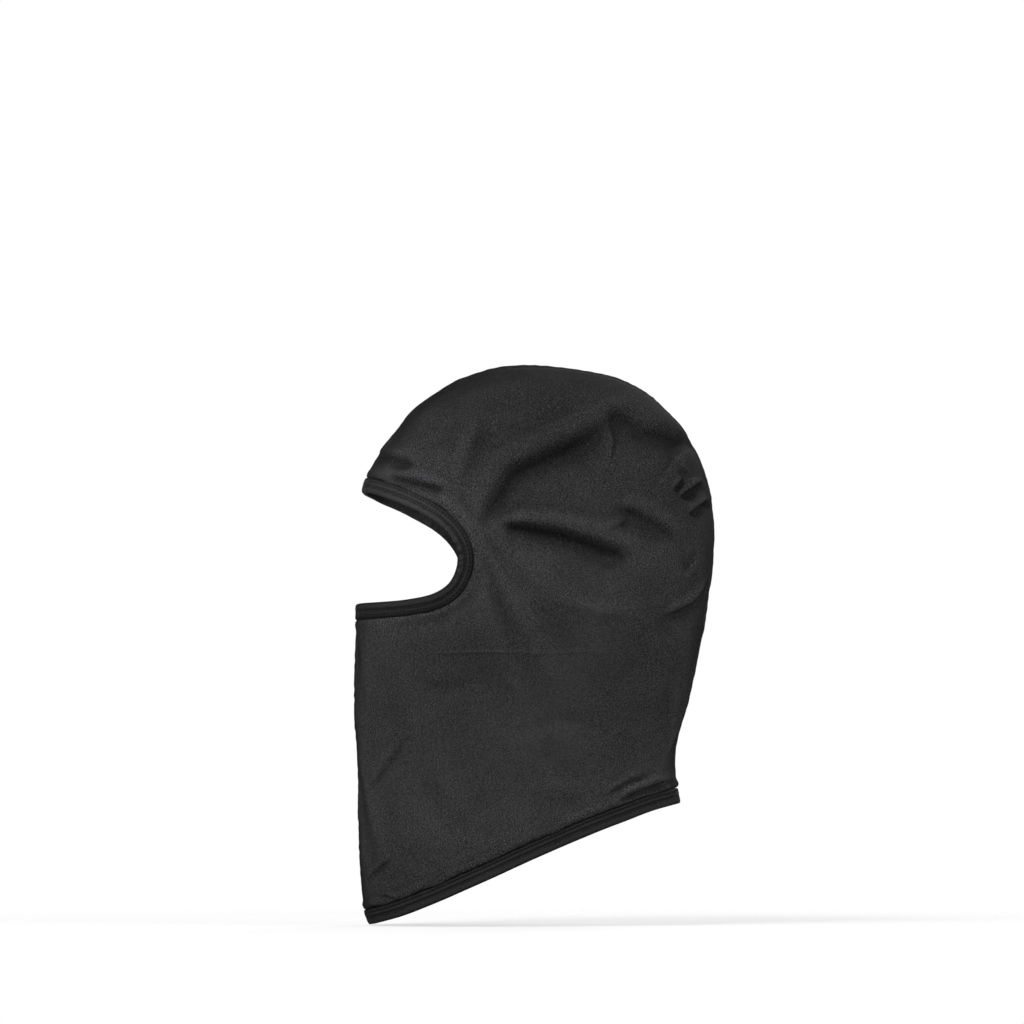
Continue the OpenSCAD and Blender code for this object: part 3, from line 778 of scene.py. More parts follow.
def panel(hand, name):
    height = relief(FORM, hand, TO_FACE, FACE_RUN, TO_HEM, HEM_RUN)
    offset = drape(height)
    points = FORM + FORM_NORMAL * height[..., None] + offset
    points[..., 0] = np.maximum(points[..., 0], HALF_GAP)
    points[:, 0, 0] = points[:, -1, 0] = HALF_GAP
    normal = unit(np.cross(np.gradient(points, axis=0), np.gradient(points, axis=1)))
    for column in (THROAT_COLUMN, CROWN_COLUMN):   # at a seam it stays in the mid plane
        normal[:, column] = FORM_NORMAL[:, column]
    inner = (points - normal * CLOTH)[:, INNER_COLUMNS]
    crown_side = allowance(CROWN_COLUMN, hand, points)
    throat_side = allowance(THROAT_COLUMN, hand, points)[::-1]
    loop = np.concatenate([points, np.stack(crown_side, 1), inner, np.stack(throat_side, 1)], 1)
    if hand < 0:
        loop[..., 0] *= -1
    size = loop.shape[1]
    outward = 0.9 * np.arange(1, ALLOWANCE_POINTS + 1)[:, None] * (1, 0)
    uv = np.concatenate([FLAT, FLAT[:, -1:] + outward, FLAT[:, INNER_COLUMNS],
                         FLAT[:, :1] - outward[::-1]], 1) / 100
    strip = end_strip()
    tris = np.concatenate([strip[:, ::-1], strip + (ROW_COUNT - 1) * size])
    # painted light and shade of the outer face, carried in its tone attribute
    tone = np.ones(loop.shape[:2])
    tone[:, :COLUMN_COUNT] = painted_panel_shading(hand, height + dot(offset, FORM_NORMAL))
    return closed_mesh(name, loop, ring_quads(ROW_COUNT, size, False), JERSEY, uv, tris, tone=tone)


# ------------------------------------------------------------------ bindings
# depths from the edge of the points across a binding leg
LEG_DEPTHS = np.array([
    0.9, 1.3, 1.8, 2.4, 3.0, 3.7, 4.4, 4.9, 5.15, 5.4, 5.65, 6.0, 6.5, 6.9, 7.3, 7.7, 7.95, 8.2,
    8.45, 8.8, 9.2, 9.5])
BED_DEPTHS = np.concatenate([[0.0], LEG_DEPTHS, [9.75]])
# the slot between the legs, from inner raw edge to outer: index in BED_DEPTHS, height
SLOT = [(22, -CLOTH - 0.32), (22, -CLOTH - 0.13), (10, -CLOTH - 0.12), (2, -CLOTH - 0.12),
        (2, 0.12), (10, 0.12), (22, 0.13), (22, 0.36)]


def leg_height(depth, run):
    """Height of a leg's face above the cloth: full beside the fold, drawn in at each row."""
    beat = 0.5 - 0.5 * np.cos(2 * np.pi * run / STITCH)
    height = 0.12 + LEG + 0.34 * bell(depth, 2.6, 1.9) + 0.10 * bell(depth, ROW_MIDDLE, 0.8)
    for row in NEEDLE_ROWS:
        height = height - (0.42 - 0.20 * beat) * bell(depth, row, 0.42)
    return height - 0.22 * ease((depth - 8.9) / 0.8)


class Ring:
    """A bound edge all the way round: the bed of cloth under its binding, with normals."""
    def __init__(self, edge):
        steps = int(round((200, 262)[edge] / 0.52))
        angles = np.linspace(0, 180, 2881)
        edge_run = length_along(skin(edge, angles))
        run = np.linspace(0, edge_run[-1], steps + 1)
        share, angle = foot(edge, BED_DEPTHS[None, :], np.interp(run, edge_run, angles)[:, None])
        base, normal = skin(share, angle), skin_normal(share, angle)
        base[0, :, 0] = base[-1, :, 0] = 0
        shape = base.shape[:2]
        here = (np.broadcast_to(BED_DEPTHS, shape), np.broadcast_to(run[:, None], shape))
        other = (np.full(shape, 200.0), here[1])       # the other edge is far away
        distances = here + other if edge == FACE_EDGE else other + here
        left, right = [base + normal * relief(base, hand, *distances)[..., None]
                       for hand in (1, -1)]
        mirror = (-1, 1, 1)
        right = right * mirror
        for i in (0, -1):
            left[i] = (left[i] + right[i]) / 2
        self.bed = np.concatenate([left, right[-2:0:-1]], 0)
        up = np.concatenate([normal, (normal * mirror)[-2:0:-1]], 0)
        inward = np.gradient(self.bed, BED_DEPTHS, axis=1)
        onward = np.roll(self.bed, -1, 0) - np.roll(self.bed, 1, 0)
        bed_normal = unit(np.cross(onward, inward))
        self.normal = np.where(dot(bed_normal, up)[..., None] < 0, -bed_normal, bed_normal)
        half = edge_run[-1]
        self.run = np.concatenate([run, 2 * half - run[-2:0:-1]])
        self.total = 2 * half
        self.count = len(self.run)
        self.inward = unit(self.bed[:, 1] - self.bed[:, 0])
        self.edge = edge
        self.stitches = int(round(self.total / STITCH))
        self.pitch = self.total / self.stitches

    def at(self, run, depth):
        """Point and normal at a run and depth (arrays of the same shape)."""
        run = np.mod(run, self.total)
        marks = np.append(self.run, self.total)
        i = np.clip(np.searchsorted(marks, run, side="right") - 1, 0, self.count - 1)
        row_part = (run - marks[i]) / (marks[i + 1] - marks[i])
        j = np.searchsorted(BED_DEPTHS, depth, side="right") - 1
        j = np.clip(j, 0, len(BED_DEPTHS) - 2)
        column_part = (depth - BED_DEPTHS[j]) / (BED_DEPTHS[j + 1] - BED_DEPTHS[j])
        where = (i, (i + 1) % self.count, j, row_part, column_part)
        return bilinear(self.bed, *where), unit(bilinear(self.normal, *where))

    def level(self, column, height):
        """The ring of points at one bed column, raised by height."""
        return self.bed[:, column] + self.normal[:, column] * np.reshape(height, (-1, 1))

    def binding(self, name):
        run = self.run / self.pitch * STITCH
        lift = 0.10 * (Waves(31 + self.edge, 6, 14, 1)(self.run) + 0.6)
        inner_cut = 0.25 * Waves(33 + self.edge, 20, 50, 1)(self.run)
        # where the face edge turns a tight corner the binding gathers into small pleats
        place = np.minimum(self.run, self.total - self.run) / (self.total / 2)
        gather = (0.45 if self.edge == FACE_EDGE else 0.0) * bell(place, 0.53, 0.13)
        pleat = gather * (Waves(35, 3.2, 7.5, 1)(self.run) - 0.4)
        section, across = [], []
        for k in reversed(range(len(LEG_DEPTHS))):     # outer leg, raw edge to fold
            depth = LEG_DEPTHS[k]
            height = (leg_height(depth, run) + lift * ease((depth - 8.6) / 1.0)
                      + pleat * bell(depth, 2.2, 1.9))
            section.append(self.level(k + 1, height))
            across.append(depth)
        radius = leg_height(0.9, run) + CLOTH / 2 + 0.7 * pleat
        for degrees in (68, 45, 22, 0, -22, -45, -68):     # round the fold
            turn = math.radians(degrees)
            height = -CLOTH / 2 + radius * math.sin(turn)
            section.append(self.bed[:, 0] + self.inward * (0.9 - 1.05 * math.cos(turn))
                           + self.normal[:, 1] * height[:, None])
            across.append(-1.2 * (90 - degrees) / 90)
        for k, depth in enumerate(LEG_DEPTHS):     # inner leg
            height = -CLOTH - leg_height(depth, run) - pleat * bell(depth, 2.2, 1.9)
            section.append(self.level(k + 1, height)
                           + self.inward * (inner_cut * ease((depth - 8.7) / 0.8))[:, None])
            across.append(-3 - depth)
        slot = [self.level(k, height) for k, height in SLOT]
        slot[0] += self.inward * (0.12 + inner_cut)[:, None]
        slot[-1] += self.inward * 0.12 + self.normal[:, SLOT[-1][0]] * lift[:, None]
        section = np.stack(section + slot, 1)
        across += [BED_DEPTHS[k] + (20 if height < 0 else 0) for k, height in SLOT]
        uv = np.stack(np.broadcast_arrays(run[:, None], np.array(across)), -1) / 100
        tone = np.full(section.shape[:2], 1.0)
        if self.edge == FACE_EDGE:     # painted shade: the turned corner and the lip are darkened, as they lie in their own shade
            tone *= (0.66 + 0.34 * ease((place - 0.50) / 0.22))[:, None]
        quads = ring_quads(*section.shape[:2])
        return closed_mesh(name, section, quads, BINDING, uv, tone=tone)

    def needle(self, name, row):
        """Straight stitches on the face, each dipping into the cloth at both ends."""
        part = np.array([0, 0.07, 0.18, 0.35, 0.5, 0.65, 0.82, 0.93, 1.0])
        rise = np.array([-0.42, -0.1, 0.10, 0.21, 0.24, 0.21, 0.10, -0.1, -0.42])
        stray = rng.normal(0, 0.045, (self.stitches, 1))
        run = (np.arange(self.stitches)[:, None] + 0.03 + 0.94 * part) * self.pitch
        points, normal = self.at(run, row + stray + 0.10 * np.sin(run / 17.0))
        height = leg_height(row, run / self.pitch * STITCH) + rise
        return threads(name, points + normal * height[..., None], radius=0.185)

    def looper(self, name):
        """The coverstitch looper on the inside, crossing between the rows at every stitch."""
        steps = 10
        stitch = np.arange(self.stitches * steps) / steps
        phase = 2 * np.pi * stitch
        swing = (NEEDLE_ROWS[1] - NEEDLE_ROWS[0]) / 2
        depth = ROW_MIDDLE + swing * np.clip(1.25 * np.sin(phase), -1, 1)
        run = (stitch + 0.16 * np.sin(2 * phase)) * self.pitch
        points, normal = self.at(run, depth)
        height = (-CLOTH - leg_height(depth, run / self.pitch * STITCH) - 0.17
                  - 0.07 * np.cos(2 * phase))
        path = points + normal * height[:, None]
        return threads(name, path[None], radius=0.17, sides=5, closed=True)


# ------------------------------------------------------------------ overlocked seams
class Seam:
    """A seam's allowance, as a line down the mid plane that stops short of the bindings."""
    def __init__(self, column):
        keep = BOUND[:, column] > 17.5
        self.points, self.normal = FORM[keep, column], FORM_NORMAL[keep, column]
        self.run = length_along(self.points)
        self.stitches = int(self.run[-1] / SEAM_STITCH)

    def at(self, run, x, depth):
        """Point x to the side of the mid plane and depth below the cloth's face."""
        line, normal = [np.stack([np.interp(run, self.run, way[:, i]) for i in range(3)], -1)
                        for way in (self.points, self.normal)]
        found = line - unit(normal) * np.asarray(depth)[..., None]
        found[..., 0] = x + seam_shift(line[..., 2] - line[..., 1], depth)
        return found

    def needle(self, name):
        part = np.array([0, 0.08, 0.25, 0.5, 0.75, 0.92, 1.0])
        rise = np.array([-0.34, 0.0, 0.13, 0.17, 0.13, 0.0, -0.34])
        run = np.arange(self.stitches)[:, None] + 0.04 + 0.92 * part
        run = run * self.run[-1] / self.stitches
        paths = [self.at(run, way * (0.97 + rise), depth) for way in (1, -1)
                 for depth in (2.35, 4.1)]
        return threads(name, np.concatenate(paths, 0), radius=0.15, sides=5)

    def looper(self, name):
        steps = 14
        stitch = np.arange(self.stitches * steps + 1) / steps
        swing = 0.5 - 0.5 * np.cos(2 * np.pi * stitch)     # 0 at the needle row, 1 at raw edge
        depth = 2.5 + 3.95 * ease(swing * 1.02)
        x = np.where(swing > 0.93, 1.22 * (1 - (swing - 0.93) / 0.07 * 1.25), 1.22)
        run = (stitch + 0.14 * np.sin(4 * np.pi * stitch)) / self.stitches * self.run[-1]
        paths = np.stack([self.at(run, way * x, depth) for way in (1, -1)], 0)
        return threads(name, paths, radius=0.16, sides=5)


# ------------------------------------------------------------------ care label
def label_outline(length=29.0, root=2.2, gap=0.55, thickness=0.2):
    """Closed outline [x, depth] of a strip doubled over: its outside, then its inside."""
    part = np.linspace(0, 1, 40)
    turn = np.radians(np.linspace(-90, 90, 11)[1:-1])

    def drift(part):   # sideways, from root to fold
        return 1.75 + 6.5 * part ** 2 - 1.6 * np.sin(np.pi * part) * part

    def ply(offset):
        return np.stack([drift(part) + offset, root + length * part], -1)

    middle = (gap + thickness) / 2

    def wrap(near, far, radius):
        bend = np.stack([drift(1.0) + middle + radius * np.sin(turn),
                         root + length + radius * np.cos(turn)], -1)
        return np.concatenate([ply(near), bend, ply(far)[::-1]])

    outside = wrap(0.0, gap + thickness, middle + thickness / 2)
    inside = wrap(thickness, gap, middle - thickness / 2)
    return np.concatenate([outside, inside[::-1]])


def care_label():
    """A folded, blank satin label caught in the nape seam."""
    low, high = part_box("care_label")
    middle_z = (low[2] / MM + high[2] / MM) / 2
    line, normals = FORM[:, CROWN_COLUMN], FORM_NORMAL[:, CROWN_COLUMN]
    nape = np.where((line[:, 1] > 60) & (line[:, 2] < 260))[0]
    i = nape[np.argmin(np.abs((line - 16 * normals)[nape, 2] - middle_z))]
    root, normal = line[i], normals[i]
    onward = unit(line[i + 4] - line[i - 4])
    outline = label_outline()
    size = len(outline)
    depth = outline[:, 1]
    wave = Waves(41, 9, 22, 2)
    strip_run = np.concatenate([np.arange(size // 2), np.arange(size // 2)[::-1]]) * 0.75
    stations = np.linspace(-10.8, 10.8, 46)
    rings, uv = [], []
    for place in stations:
        bend = (0.30 * wave(np.full(size, place), depth) + 0.004 * place * place) * (depth / 30)
        ring = root + onward * place - normal * depth[:, None]
        ring[:, 0] = outline[:, 0] + bend + seam_shift(ring[:, 2] - ring[:, 1], depth)
        rings.append(ring)
        uv.append(np.stack([np.full(size, place), strip_run], -1))
    caps = []
    for base, way in ((0, 1), ((len(stations) - 1) * size, -1)):
        for t in range(size // 2 - 1):
            corners = [base + t, base + t + 1, base + size - 2 - t, base + size - 1 - t]
            caps.append(corners[::way])
    quads = np.concatenate([ring_quads(len(stations), size, False), np.array(caps)])
    return closed_mesh("care_label_tape", np.stack(rings), quads, LABEL, np.stack(uv) / 100)


# ------------------------------------------------------------------ shader building
class Value:
    """An output socket of a shader. Arithmetic on it adds Math nodes."""
    def __init__(self, tree, socket):
        self.tree, self.socket = tree, socket

    def math(self, operation, *terms):
        node = self.tree.nodes.new("ShaderNodeMath")
        node.operation = operation
        for socket, term in zip(node.inputs, (self, *(terms or (0.0,)))):
            feed(socket, term)
        return Value(self.tree, node.outputs[0])

    def __add__(self, term):
        return self.math("ADD", term)

    def __sub__(self, term):
        return self.math("SUBTRACT", term)

    def __mul__(self, term):
        return self.math("MULTIPLY", term)

    def __truediv__(self, term):
        return self.math("DIVIDE", term)

    def __pow__(self, term):
        return self.math("POWER", term)

    def __abs__(self):
        return self.math("ABSOLUTE")

    def max(self, term):
        return self.math("MAXIMUM", term)

    def line(self, slope, start):
        return self.math("MULTIPLY_ADD", slope, start)

    def wave(self):
        """Sine of the value, brought to 0..1."""
        return (self * (2 * math.pi)).math("SINE").line(slope=0.5, start=0.5)

    def ramp(self, between, to=(0.0, 1.0), smooth=True):
        """Carries one range of values onto another, held flat beyond its ends."""
        node = self.tree.nodes.new("ShaderNodeMapRange")
        node.interpolation_type = "SMOOTHSTEP" if smooth else "LINEAR"
        for socket, term in zip(node.inputs, (self, *between, *to)):
            feed(socket, term)
        return Value(self.tree, node.outputs[0])


def feed(socket, term):
    """Links a Value to a socket, or sets a plain number or colour on it."""
    if isinstance(term, Value):
        term.tree.links.new(term.socket, socket)
    else:
        socket.default_value = term


class Shader:
    """A material with a Principled surface."""
    def __init__(self, name):
        self.material = bpy.data.materials.new(name)
        self.material.use_nodes = True
        self.tree = self.material.node_tree
        self.tree.nodes.clear()
        self.output = self.node("ShaderNodeOutputMaterial")
        self.surface = self.node("ShaderNodeBsdfPrincipled")
        self.tree.links.new(self.surface.outputs[0], self.output.inputs[0])
        self.place = self.get(self.node("ShaderNodeTexCoord"), "Object")

    def node(self, kind, **settings):
        node = self.tree.nodes.new(kind)
        for key, setting in settings.items():
            setattr(node, key, setting)
        return node

    def get(self, node, output=0):
        return Value(self.tree, node.outputs[output])

    def cloth_uv(self):
        return self.get(self.node("ShaderNodeUVMap", uv_map="cloth"))

    def split(self, vector):
        node = self.node("ShaderNodeSeparateXYZ")
        feed(node.inputs[0], vector)
        return self.get(node, 0), self.get(node, 1)

    def noise(self, scale, detail=2.0, rough=0.5):
        node = self.node("ShaderNodeTexNoise", noise_dimensions="3D")
        feed(node.inputs["Vector"], self.place)
        feed(node.inputs["Scale"], scale)
        feed(node.inputs["Detail"], detail)
        feed(node.inputs["Roughness"], rough)
        return self.get(node)

    def mix(self, share, first, second):
        node = self.node("ShaderNodeMix", data_type="RGBA")
        feed(node.inputs[0], share)
        for socket, colour in ((node.inputs[6], first), (node.inputs[7], second)):
            feed(socket, (*colour, 1) if isinstance(colour, tuple) else colour)
        return self.get(node, 2)

    def bump(self, height, strength, distance, normal=None):
        node = self.node("ShaderNodeBump")
        feed(node.inputs["Strength"], strength)
        feed(node.inputs["Distance"], distance)
        feed(node.inputs["Height"], height)
        if normal:
            feed(node.inputs["Normal"], normal)
        return self.get(node)

    def finish(self, inputs):
        """Sets the surface's inputs by name and returns the material."""
        for key, term in inputs.items():
            feed(self.surface.inputs[key], term)
        return self.material


def grey(level):
    return (level, level, level * 1.03)


def mix_shader(tree, share, first, second):
    node = tree.nodes.new("ShaderNodeMixShader")
    for socket, source in zip(node.inputs, (share, first, second)):
        tree.links.new(source, socket)
    return node.outputs[0]


# ------------------------------------------------------------------ materials
def painted_stitch_shading(shader, uv, tone, base):
    """Painted shade in the needle holes, the sunken rows and at the edges, and painted highlight on
    the lit rolls along a binding.
    """
    run, depth = [axis * 100.0 for axis in shader.split(uv)]
    near = abs((run / STITCH).math("FRACT") - 0.5).ramp((0.17, 0.36))
    first, second = [abs(depth - row) for row in NEEDLE_ROWS]
    rows = first.ramp((0.42, 0.95), to=(1.0, 0.0)).max(second.ramp((0.42, 0.95), to=(1.0, 0.0)))
    lanes = first.ramp((0.2, 0.9), to=(1.0, 0.0)).max(second.ramp((0.2, 0.9), to=(1.0, 0.0)))
    raw_edge = depth.ramp((9.0, 9.5), to=(0.0, 0.75))
    # painted shade where the leg sinks beside its row nearest the fold, more here and less there
    uneven = shader.noise(160.0).ramp((0.35, 0.65), to=(0.25, 0.62))
    sink = abs(depth - 4.2).ramp((0.3, 1.0), to=(1.0, 0.0)) * uneven
    turn = abs(depth + 0.4).ramp((0.4, 1.5), to=(0.40, 0.0))
    # painted shade: needle holes, sunken rows, raw edge, sinking leg and fold edge together
    painted_shade = (near * rows).max(lanes * 0.52).max(raw_edge).max(sink).max(turn)
    # painted highlight on the roll beside the fold and the rib between the rows
    roll = depth.ramp((0.8, 2.0)) * depth.ramp((2.6, 4.6), to=(1.0, 0.0))
    rib = abs(depth - ROW_MIDDLE).ramp((0.2, 0.8), to=(1.0, 0.0))
    tone = shader.mix(roll.max(rib) * 0.22, tone, grey(base * 2.0))
    return shader.mix(painted_shade * 0.9, tone, grey(base * 0.08))


def knit(name, base, fleck, wale, course, rough, bump, contrast, binding=False):
    """Fine jersey of mixed black yarn. base and fleck are greys; wale and course are loop
    sizes in mm. The UV is in decimetres; wales run up it, or across it on a binding."""
    shader = Shader(name)
    uv = shader.cloth_uv()
    axes = shader.split(uv)
    column, row = [axis * 100.0 for axis in (axes[::-1] if binding else axes)]
    column = column + shader.noise(90.0, detail=1.0) * 1.3     # the wales wander a little
    # each wale is a pair of legs leaning together, so courses read as small chevrons
    wales = column / wale
    off_middle = abs(wales.math("FRACT") - 0.5)
    courses = (row + off_middle * (course * 1.3)) / course
    legs = (off_middle * (2 * math.pi)).math("SINE")
    height = legs.max(0.001) ** 0.6 * courses.wave().line(slope=0.65, start=0.35)
    fibre = shader.noise(1500.0, detail=3.0, rough=0.65)
    grain = shader.noise(2300.0, rough=0.6)
    soft = shader.noise(30.0, detail=1.0)
    broad = shader.noise(8.0)

    def cells(scale, seed, right=0, up=0):
        """A random tone for every loop, or group of loops."""
        at = shader.node("ShaderNodeCombineXYZ")
        feed(at.inputs[0], (wales * scale).math("FLOOR") + right)
        feed(at.inputs[1], (courses * scale).math("FLOOR") + up)
        feed(at.inputs[2], seed)
        node = shader.node("ShaderNodeTexWhiteNoise", noise_dimensions="3D")
        feed(node.inputs["Vector"], shader.get(at))
        return shader.get(node, "Value")

    loop, pair = cells(1.0, seed=3.0), cells(0.5, seed=8.0)
    # dark and light loops tend to lie side by side, so the mixture stays even from afar
    beside = ((cells(1.0, 3.0, right=1) + cells(1.0, 3.0, right=-1))
              + (cells(1.0, 3.0, up=1) + cells(1.0, 3.0, up=-1)))
    loop = loop - beside.line(slope=0.15, start=-0.30)
    loop = loop.line(slope=1.5 * contrast, start=1 - 0.76 * contrast).max(0.05) ** 2.0

    def around_one(swing):
        return (1 - swing * contrast, 1 + swing * contrast)

    level = height.ramp((0.0, 0.9), to=(0.78, 1.10)) * loop
    level = level * pair.ramp((0.0, 1.0), to=around_one(0.05), smooth=False)
    level = level * grain.ramp((0.28, 0.74), to=around_one(0.32), smooth=False)
    level = level * soft.ramp((0.3, 0.7), to=(0.94, 1.07))
    level = level * broad.ramp((0.35, 0.65), to=(0.94, 1.05))
    # painted shade: the colour darkens where the cloth turns away from the eye
    weight = shader.node("ShaderNodeLayerWeight")
    feed(weight.inputs[0], 0.5)
    level = level * shader.get(weight, "Facing").ramp((0.42, 0.94), to=(1.0, 0.10))
    # painted light and shade from the tone attribute of the panels and bindings
    painted = shader.node("ShaderNodeAttribute", attribute_name="tone")
    level = level * shader.get(painted, "Fac")
    tone = shader.mix(level * 0.4, (0.0, 0.0, 0.0), grey(2.5 * base))
    flecks = cells(1.0, seed=21.0).ramp((0.975, 0.99)) * level
    tone = shader.mix(flecks * 0.55, tone, grey(fleck))
    roughness = grain.ramp((0.2, 0.8), to=(rough - 0.06, rough + 0.05))
    if binding:
        tone = painted_stitch_shading(shader, uv, tone, base)
    relief_height = height * 0.55 + (fibre * 0.35 + grain * 0.55)
    fine = shader.bump(relief_height, strength=bump, distance=0.00035)
    coarse = shader.bump(shader.noise(130.0, detail=3.0, rough=0.55), strength=0.04,
                         distance=0.0012, normal=fine)
    return shader.finish({
        "Base Color": tone, "Roughness": roughness, "Specular IOR Level": 0.10,
        "Sheen Weight": 0.02, "Sheen Roughness": 0.42, "Sheen Tint": (0.55, 0.55, 0.57, 1),
        "Normal": coarse})


def thread_material(name, base, ply_length=0.62):
    """Twisted thread, its UV run in mm along and turns round."""
    shader = Shader(name)
    run, turn = shader.split(shader.cloth_uv())
    ply = (run / ply_length + turn * 2.0).wave()
    fibre = shader.noise(3200.0, rough=0.6)
    tone = shader.mix(ply.ramp((0.1, 0.8)), grey(base * 0.5), grey(base * 1.35))
    tone = shader.mix(fibre.ramp((0.5, 0.75)) * 0.5, tone, grey(base * 2.2))
    return shader.finish({
        "Base Color": tone, "Roughness": 0.66, "Specular IOR Level": 0.14,
        "Sheen Weight": 0.08, "Sheen Roughness": 0.4,
        "Normal": shader.bump(ply + fibre * 0.4, strength=0.6, distance=0.0001)})


def label_material(warp_pitch=0.28, weft_pitch=0.42):
    shader = Shader("label_satin")
    across, along = shader.split(shader.cloth_uv())

    def yarn(axis, pitch):
        return (axis * (100 * 2 * math.pi / pitch)).math("SINE").line(slope=0.5, start=0.5)

    weave = yarn(across, warp_pitch).line(slope=0.65, start=yarn(along, weft_pitch) * 0.35)
    selvedge = abs(across * 100.0).ramp((9.6, 10.0))
    mottle = shader.noise(140.0, detail=3.0).ramp((0.45, 0.7))
    tone = shader.mix(weave, (0.46, 0.46, 0.44), (0.70, 0.70, 0.68))
    tone = shader.mix(selvedge * 0.35, tone, (0.40, 0.40, 0.39))
    tone = shader.mix(mottle * 0.2, tone, (0.52, 0.51, 0.48))
    return shader.finish({
        "Base Color": tone, "Roughness": 0.42, "Anisotropic": 0.5,
        "Normal": shader.bump(weave, strength=0.4, distance=0.00008)})


JERSEY = knit("jersey_knit", base=0.0288, fleck=0.110, wale=0.62, course=0.50, rough=0.9,
              bump=0.30, contrast=0.80)
BINDING = knit("binding_knit", base=0.0195, fleck=0.070, wale=0.56, course=0.46, rough=0.74,
               bump=0.22, contrast=0.36, binding=True)
THREAD = thread_material("thread_black", base=0.014)
LABEL = label_material()

# ------------------------------------------------------------------ the pieces
face_ring, hem_ring = Ring(FACE_EDGE), Ring(HEM_EDGE)
crown_seam, throat_seam = Seam(CROWN_COLUMN), Seam(THROAT_COLUMN)
near_row, far_row = NEEDLE_ROWS
# piece, the CAD node it replaces, material slot
pieces = [
    (panel(1, "left_panel_cloth"), "left_panel", "jersey"),
    (panel(-1, "right_panel_cloth"), "right_panel", "jersey"),
    (face_ring.binding("face_binding_cloth"), "face_binding", "binding"),
    (hem_ring.binding("hem_binding_cloth"), "hem_binding", "binding"),
    (face_ring.needle("face_stitches_inner", near_row), "face_needle_thread_inner", "thread"),
    (face_ring.needle("face_stitches_outer", far_row), "face_needle_thread_outer", "thread"),
    (face_ring.looper("face_looper_loops"), "face_looper_thread", "thread"),
    (hem_ring.needle("hem_stitches_lower", near_row), "hem_needle_thread_lower", "thread"),
    (hem_ring.needle("hem_stitches_upper", far_row), "hem_needle_thread_upper", "thread"),
    (hem_ring.looper("hem_looper_loops"), "hem_looper_thread", "thread"),
    (crown_seam.needle("crown_seam_stitches"), "crown_seam_needle_thread", "thread"),
    (crown_seam.looper("crown_seam_loops"), "crown_seam_looper_thread", "thread"),
    (throat_seam.needle("throat_seam_stitches"), "throat_seam_needle_thread", "thread"),
    (throat_seam.looper("throat_seam_loops"), "throat_seam_looper_thread", "thread"),
    (care_label(), "care_label", "label"),
]
for piece, node, slot in pieces:
    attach(piece, "root")
    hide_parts(node)


# ------------------------------------------------------------------ floor, light, camera
def floor_material():
    """White paper that fades out with distance and is clear from below."""
    shader = Shader("floor_paper")
    tree = shader.tree
    tone = shader.mix(shader.noise(3.0, detail=3.0).ramp((0.3, 0.7)),
                      (0.86, 0.86, 0.855), (0.89, 0.89, 0.885))
    seen = shader.get(shader.node("ShaderNodeLightPath"), "Is Camera Ray")
    shader.finish({     # only the eye sees it quite white
        "Base Color": shader.mix(seen, (0.40, 0.40, 0.40), tone),
        "Roughness": 0.9, "Specular IOR Level": 0.1})
    distance = shader.node("ShaderNodeVectorMath", operation="LENGTH")
    feed(distance.inputs[0], shader.place)
    far = shader.get(distance, "Value").ramp((0.22, 0.75))
    hide = far.max(shader.get(shader.node("ShaderNodeNewGeometry"), "Backfacing"))
    glow = shader.node("ShaderNodeEmission")
    feed(glow.inputs[0], (1, 1, 1, 1))
    feed(glow.inputs[1], 1.12)
    paper = mix_shader(tree, (seen * 0.6).socket, shader.surface.outputs[0], glow.outputs[0])
    clear = shader.node("ShaderNodeBsdfTransparent").outputs[0]
    tree.links.new(mix_shader(tree, hide.socket, paper, clear), shader.output.inputs[0])
    return shader.material


def floor(sides=96, radii=(0.4, 0.9, 1.6, 2.4, 3.4)):
    """A disc of rings just under the hood."""
    z = cad_lo[2] - 0.0006
    points, faces = [(0, 0, z)], []
    for radius in radii:
        for k in range(sides):
            turn = 2 * math.pi * k / sides
            points.append((radius * math.cos(turn), radius * math.sin(turn), z))
    for k in range(sides):
        faces.append((0, 1 + k, 1 + (k + 1) % sides))
    for i in range(len(radii) - 1):
        for k in range(sides):
            here, beside = 1 + i * sides + k, 1 + i * sides + (k + 1) % sides
            faces.append((here, here + sides, beside + sides, beside))
    mesh = bpy.data.meshes.new("floor")
    mesh.from_pydata(points, [], faces)
    disc = bpy.data.objects.new("floor", mesh)
    bpy.context.scene.collection.objects.link(disc)
    mesh.materials.append(floor_material())


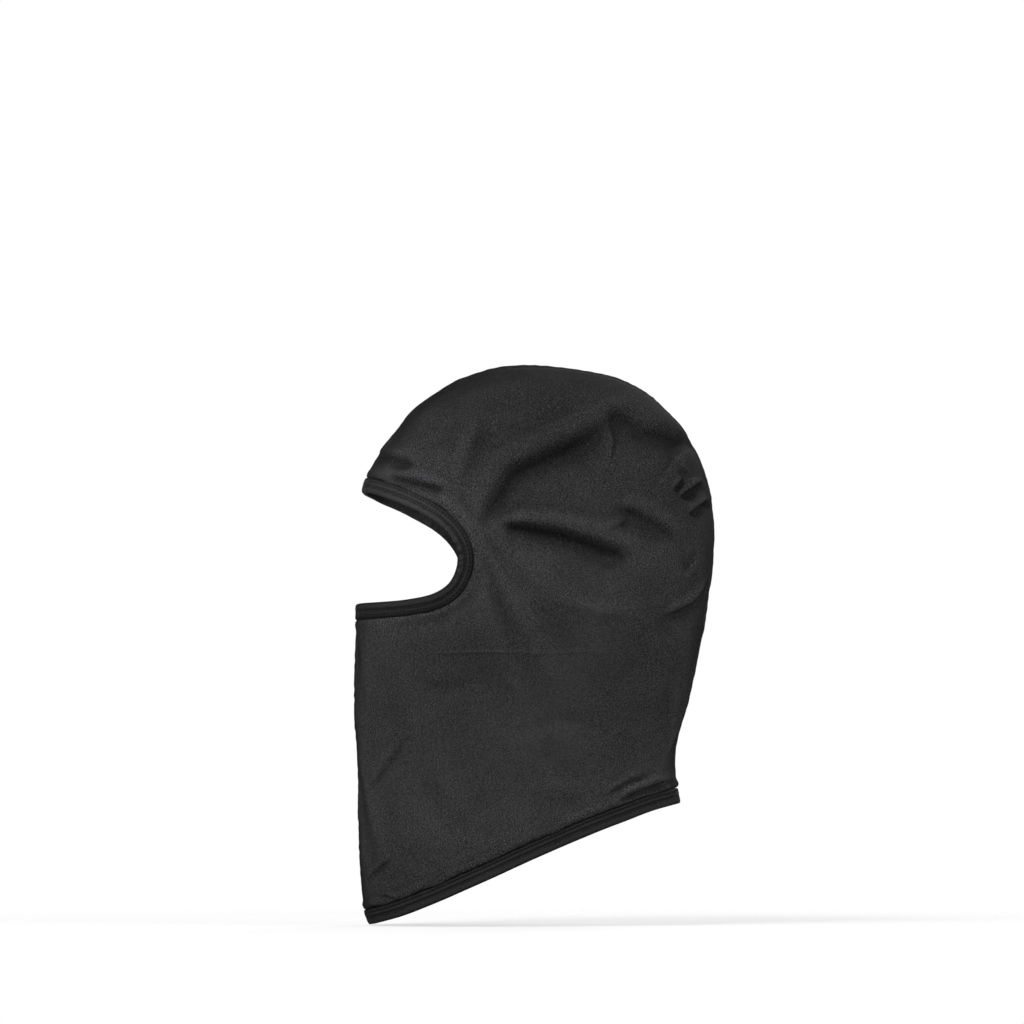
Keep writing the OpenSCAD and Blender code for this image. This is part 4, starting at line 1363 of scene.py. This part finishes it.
def area(name, at, size, power, aim=(0, 0, (cad_lo[2] + cad_hi[2]) / 2), spread=180):
    """A square light at a place, aimed at the hood's middle unless told otherwise."""
    light = bpy.data.lights.new(name, "AREA")
    light.energy = power
    light.shape = "RECTANGLE"
    light.size = light.size_y = size
    light.spread = math.radians(spread)
    lamp = bpy.data.objects.new(name, light)
    lamp.location = at
    lamp.rotation_euler = (Vector(aim) - Vector(at)).to_track_quat("-Z", "Y").to_euler()
    bpy.context.scene.collection.objects.link(lamp)


def studio_world(light=0.20, seen=1.0):
    """White all round: dim as a light, full white to the camera."""
    world = bpy.data.worlds.new("studio")
    bpy.context.scene.world = world
    world.use_nodes = True
    tree = world.node_tree
    tree.nodes.clear()
    output = tree.nodes.new("ShaderNodeOutputWorld")
    backgrounds = []
    for strength in (light, seen):
        node = tree.nodes.new("ShaderNodeBackground")
        node.inputs[0].default_value = (1, 1, 1, 1)
        node.inputs[1].default_value = strength
        backgrounds.append(node.outputs[0])
    eye = tree.nodes.new("ShaderNodeLightPath").outputs["Is Camera Ray"]
    tree.links.new(mix_shader(tree, eye, *backgrounds), output.inputs[0])


def camera(view_width=0.686, tilt=math.radians(-3.0), y_share=0.4415, z_share=0.7375):
    """Looks along -X at the left side. The shares place its aim within the CAD box."""
    lens = bpy.data.cameras.new("camera")
    lens.lens, lens.sensor_width = 200, 36
    lens.clip_end = 50
    eye = bpy.data.objects.new("camera", lens)
    bpy.context.scene.collection.objects.link(eye)
    bpy.context.scene.camera = eye
    aim = Vector((0, cad_lo[1] + y_share * (cad_hi[1] - cad_lo[1]),
                  cad_lo[2] + z_share * (cad_hi[2] - cad_lo[2])))
    distance = view_width * lens.lens / lens.sensor_width
    eye.location = aim + distance * Vector((math.cos(tilt), 0, math.sin(tilt)))
    eye.rotation_euler = (aim - eye.location).to_track_quat("-Z", "Y").to_euler()


floor()
area("key_light", at=(1.6, -0.95, 2.0), size=0.9, power=46)
area("front_light", at=(1.3, -1.9, 1.15), size=0.8, power=12)
area("far_key_light", at=(-1.9, 0.9, 1.5), size=0.9, power=18)
area("opening_light", at=(1.7, -0.36, 0.115), size=0.10, power=0.05,
     aim=(-0.045, -0.095, 0.284), spread=6)
area("back_light", at=(1.1, 2.2, 0.9), size=1.0, power=25)
studio_world()
camera()
bpy.context.scene.view_settings.view_transform = "Standard"
bpy.context.scene.view_settings.look = "None"
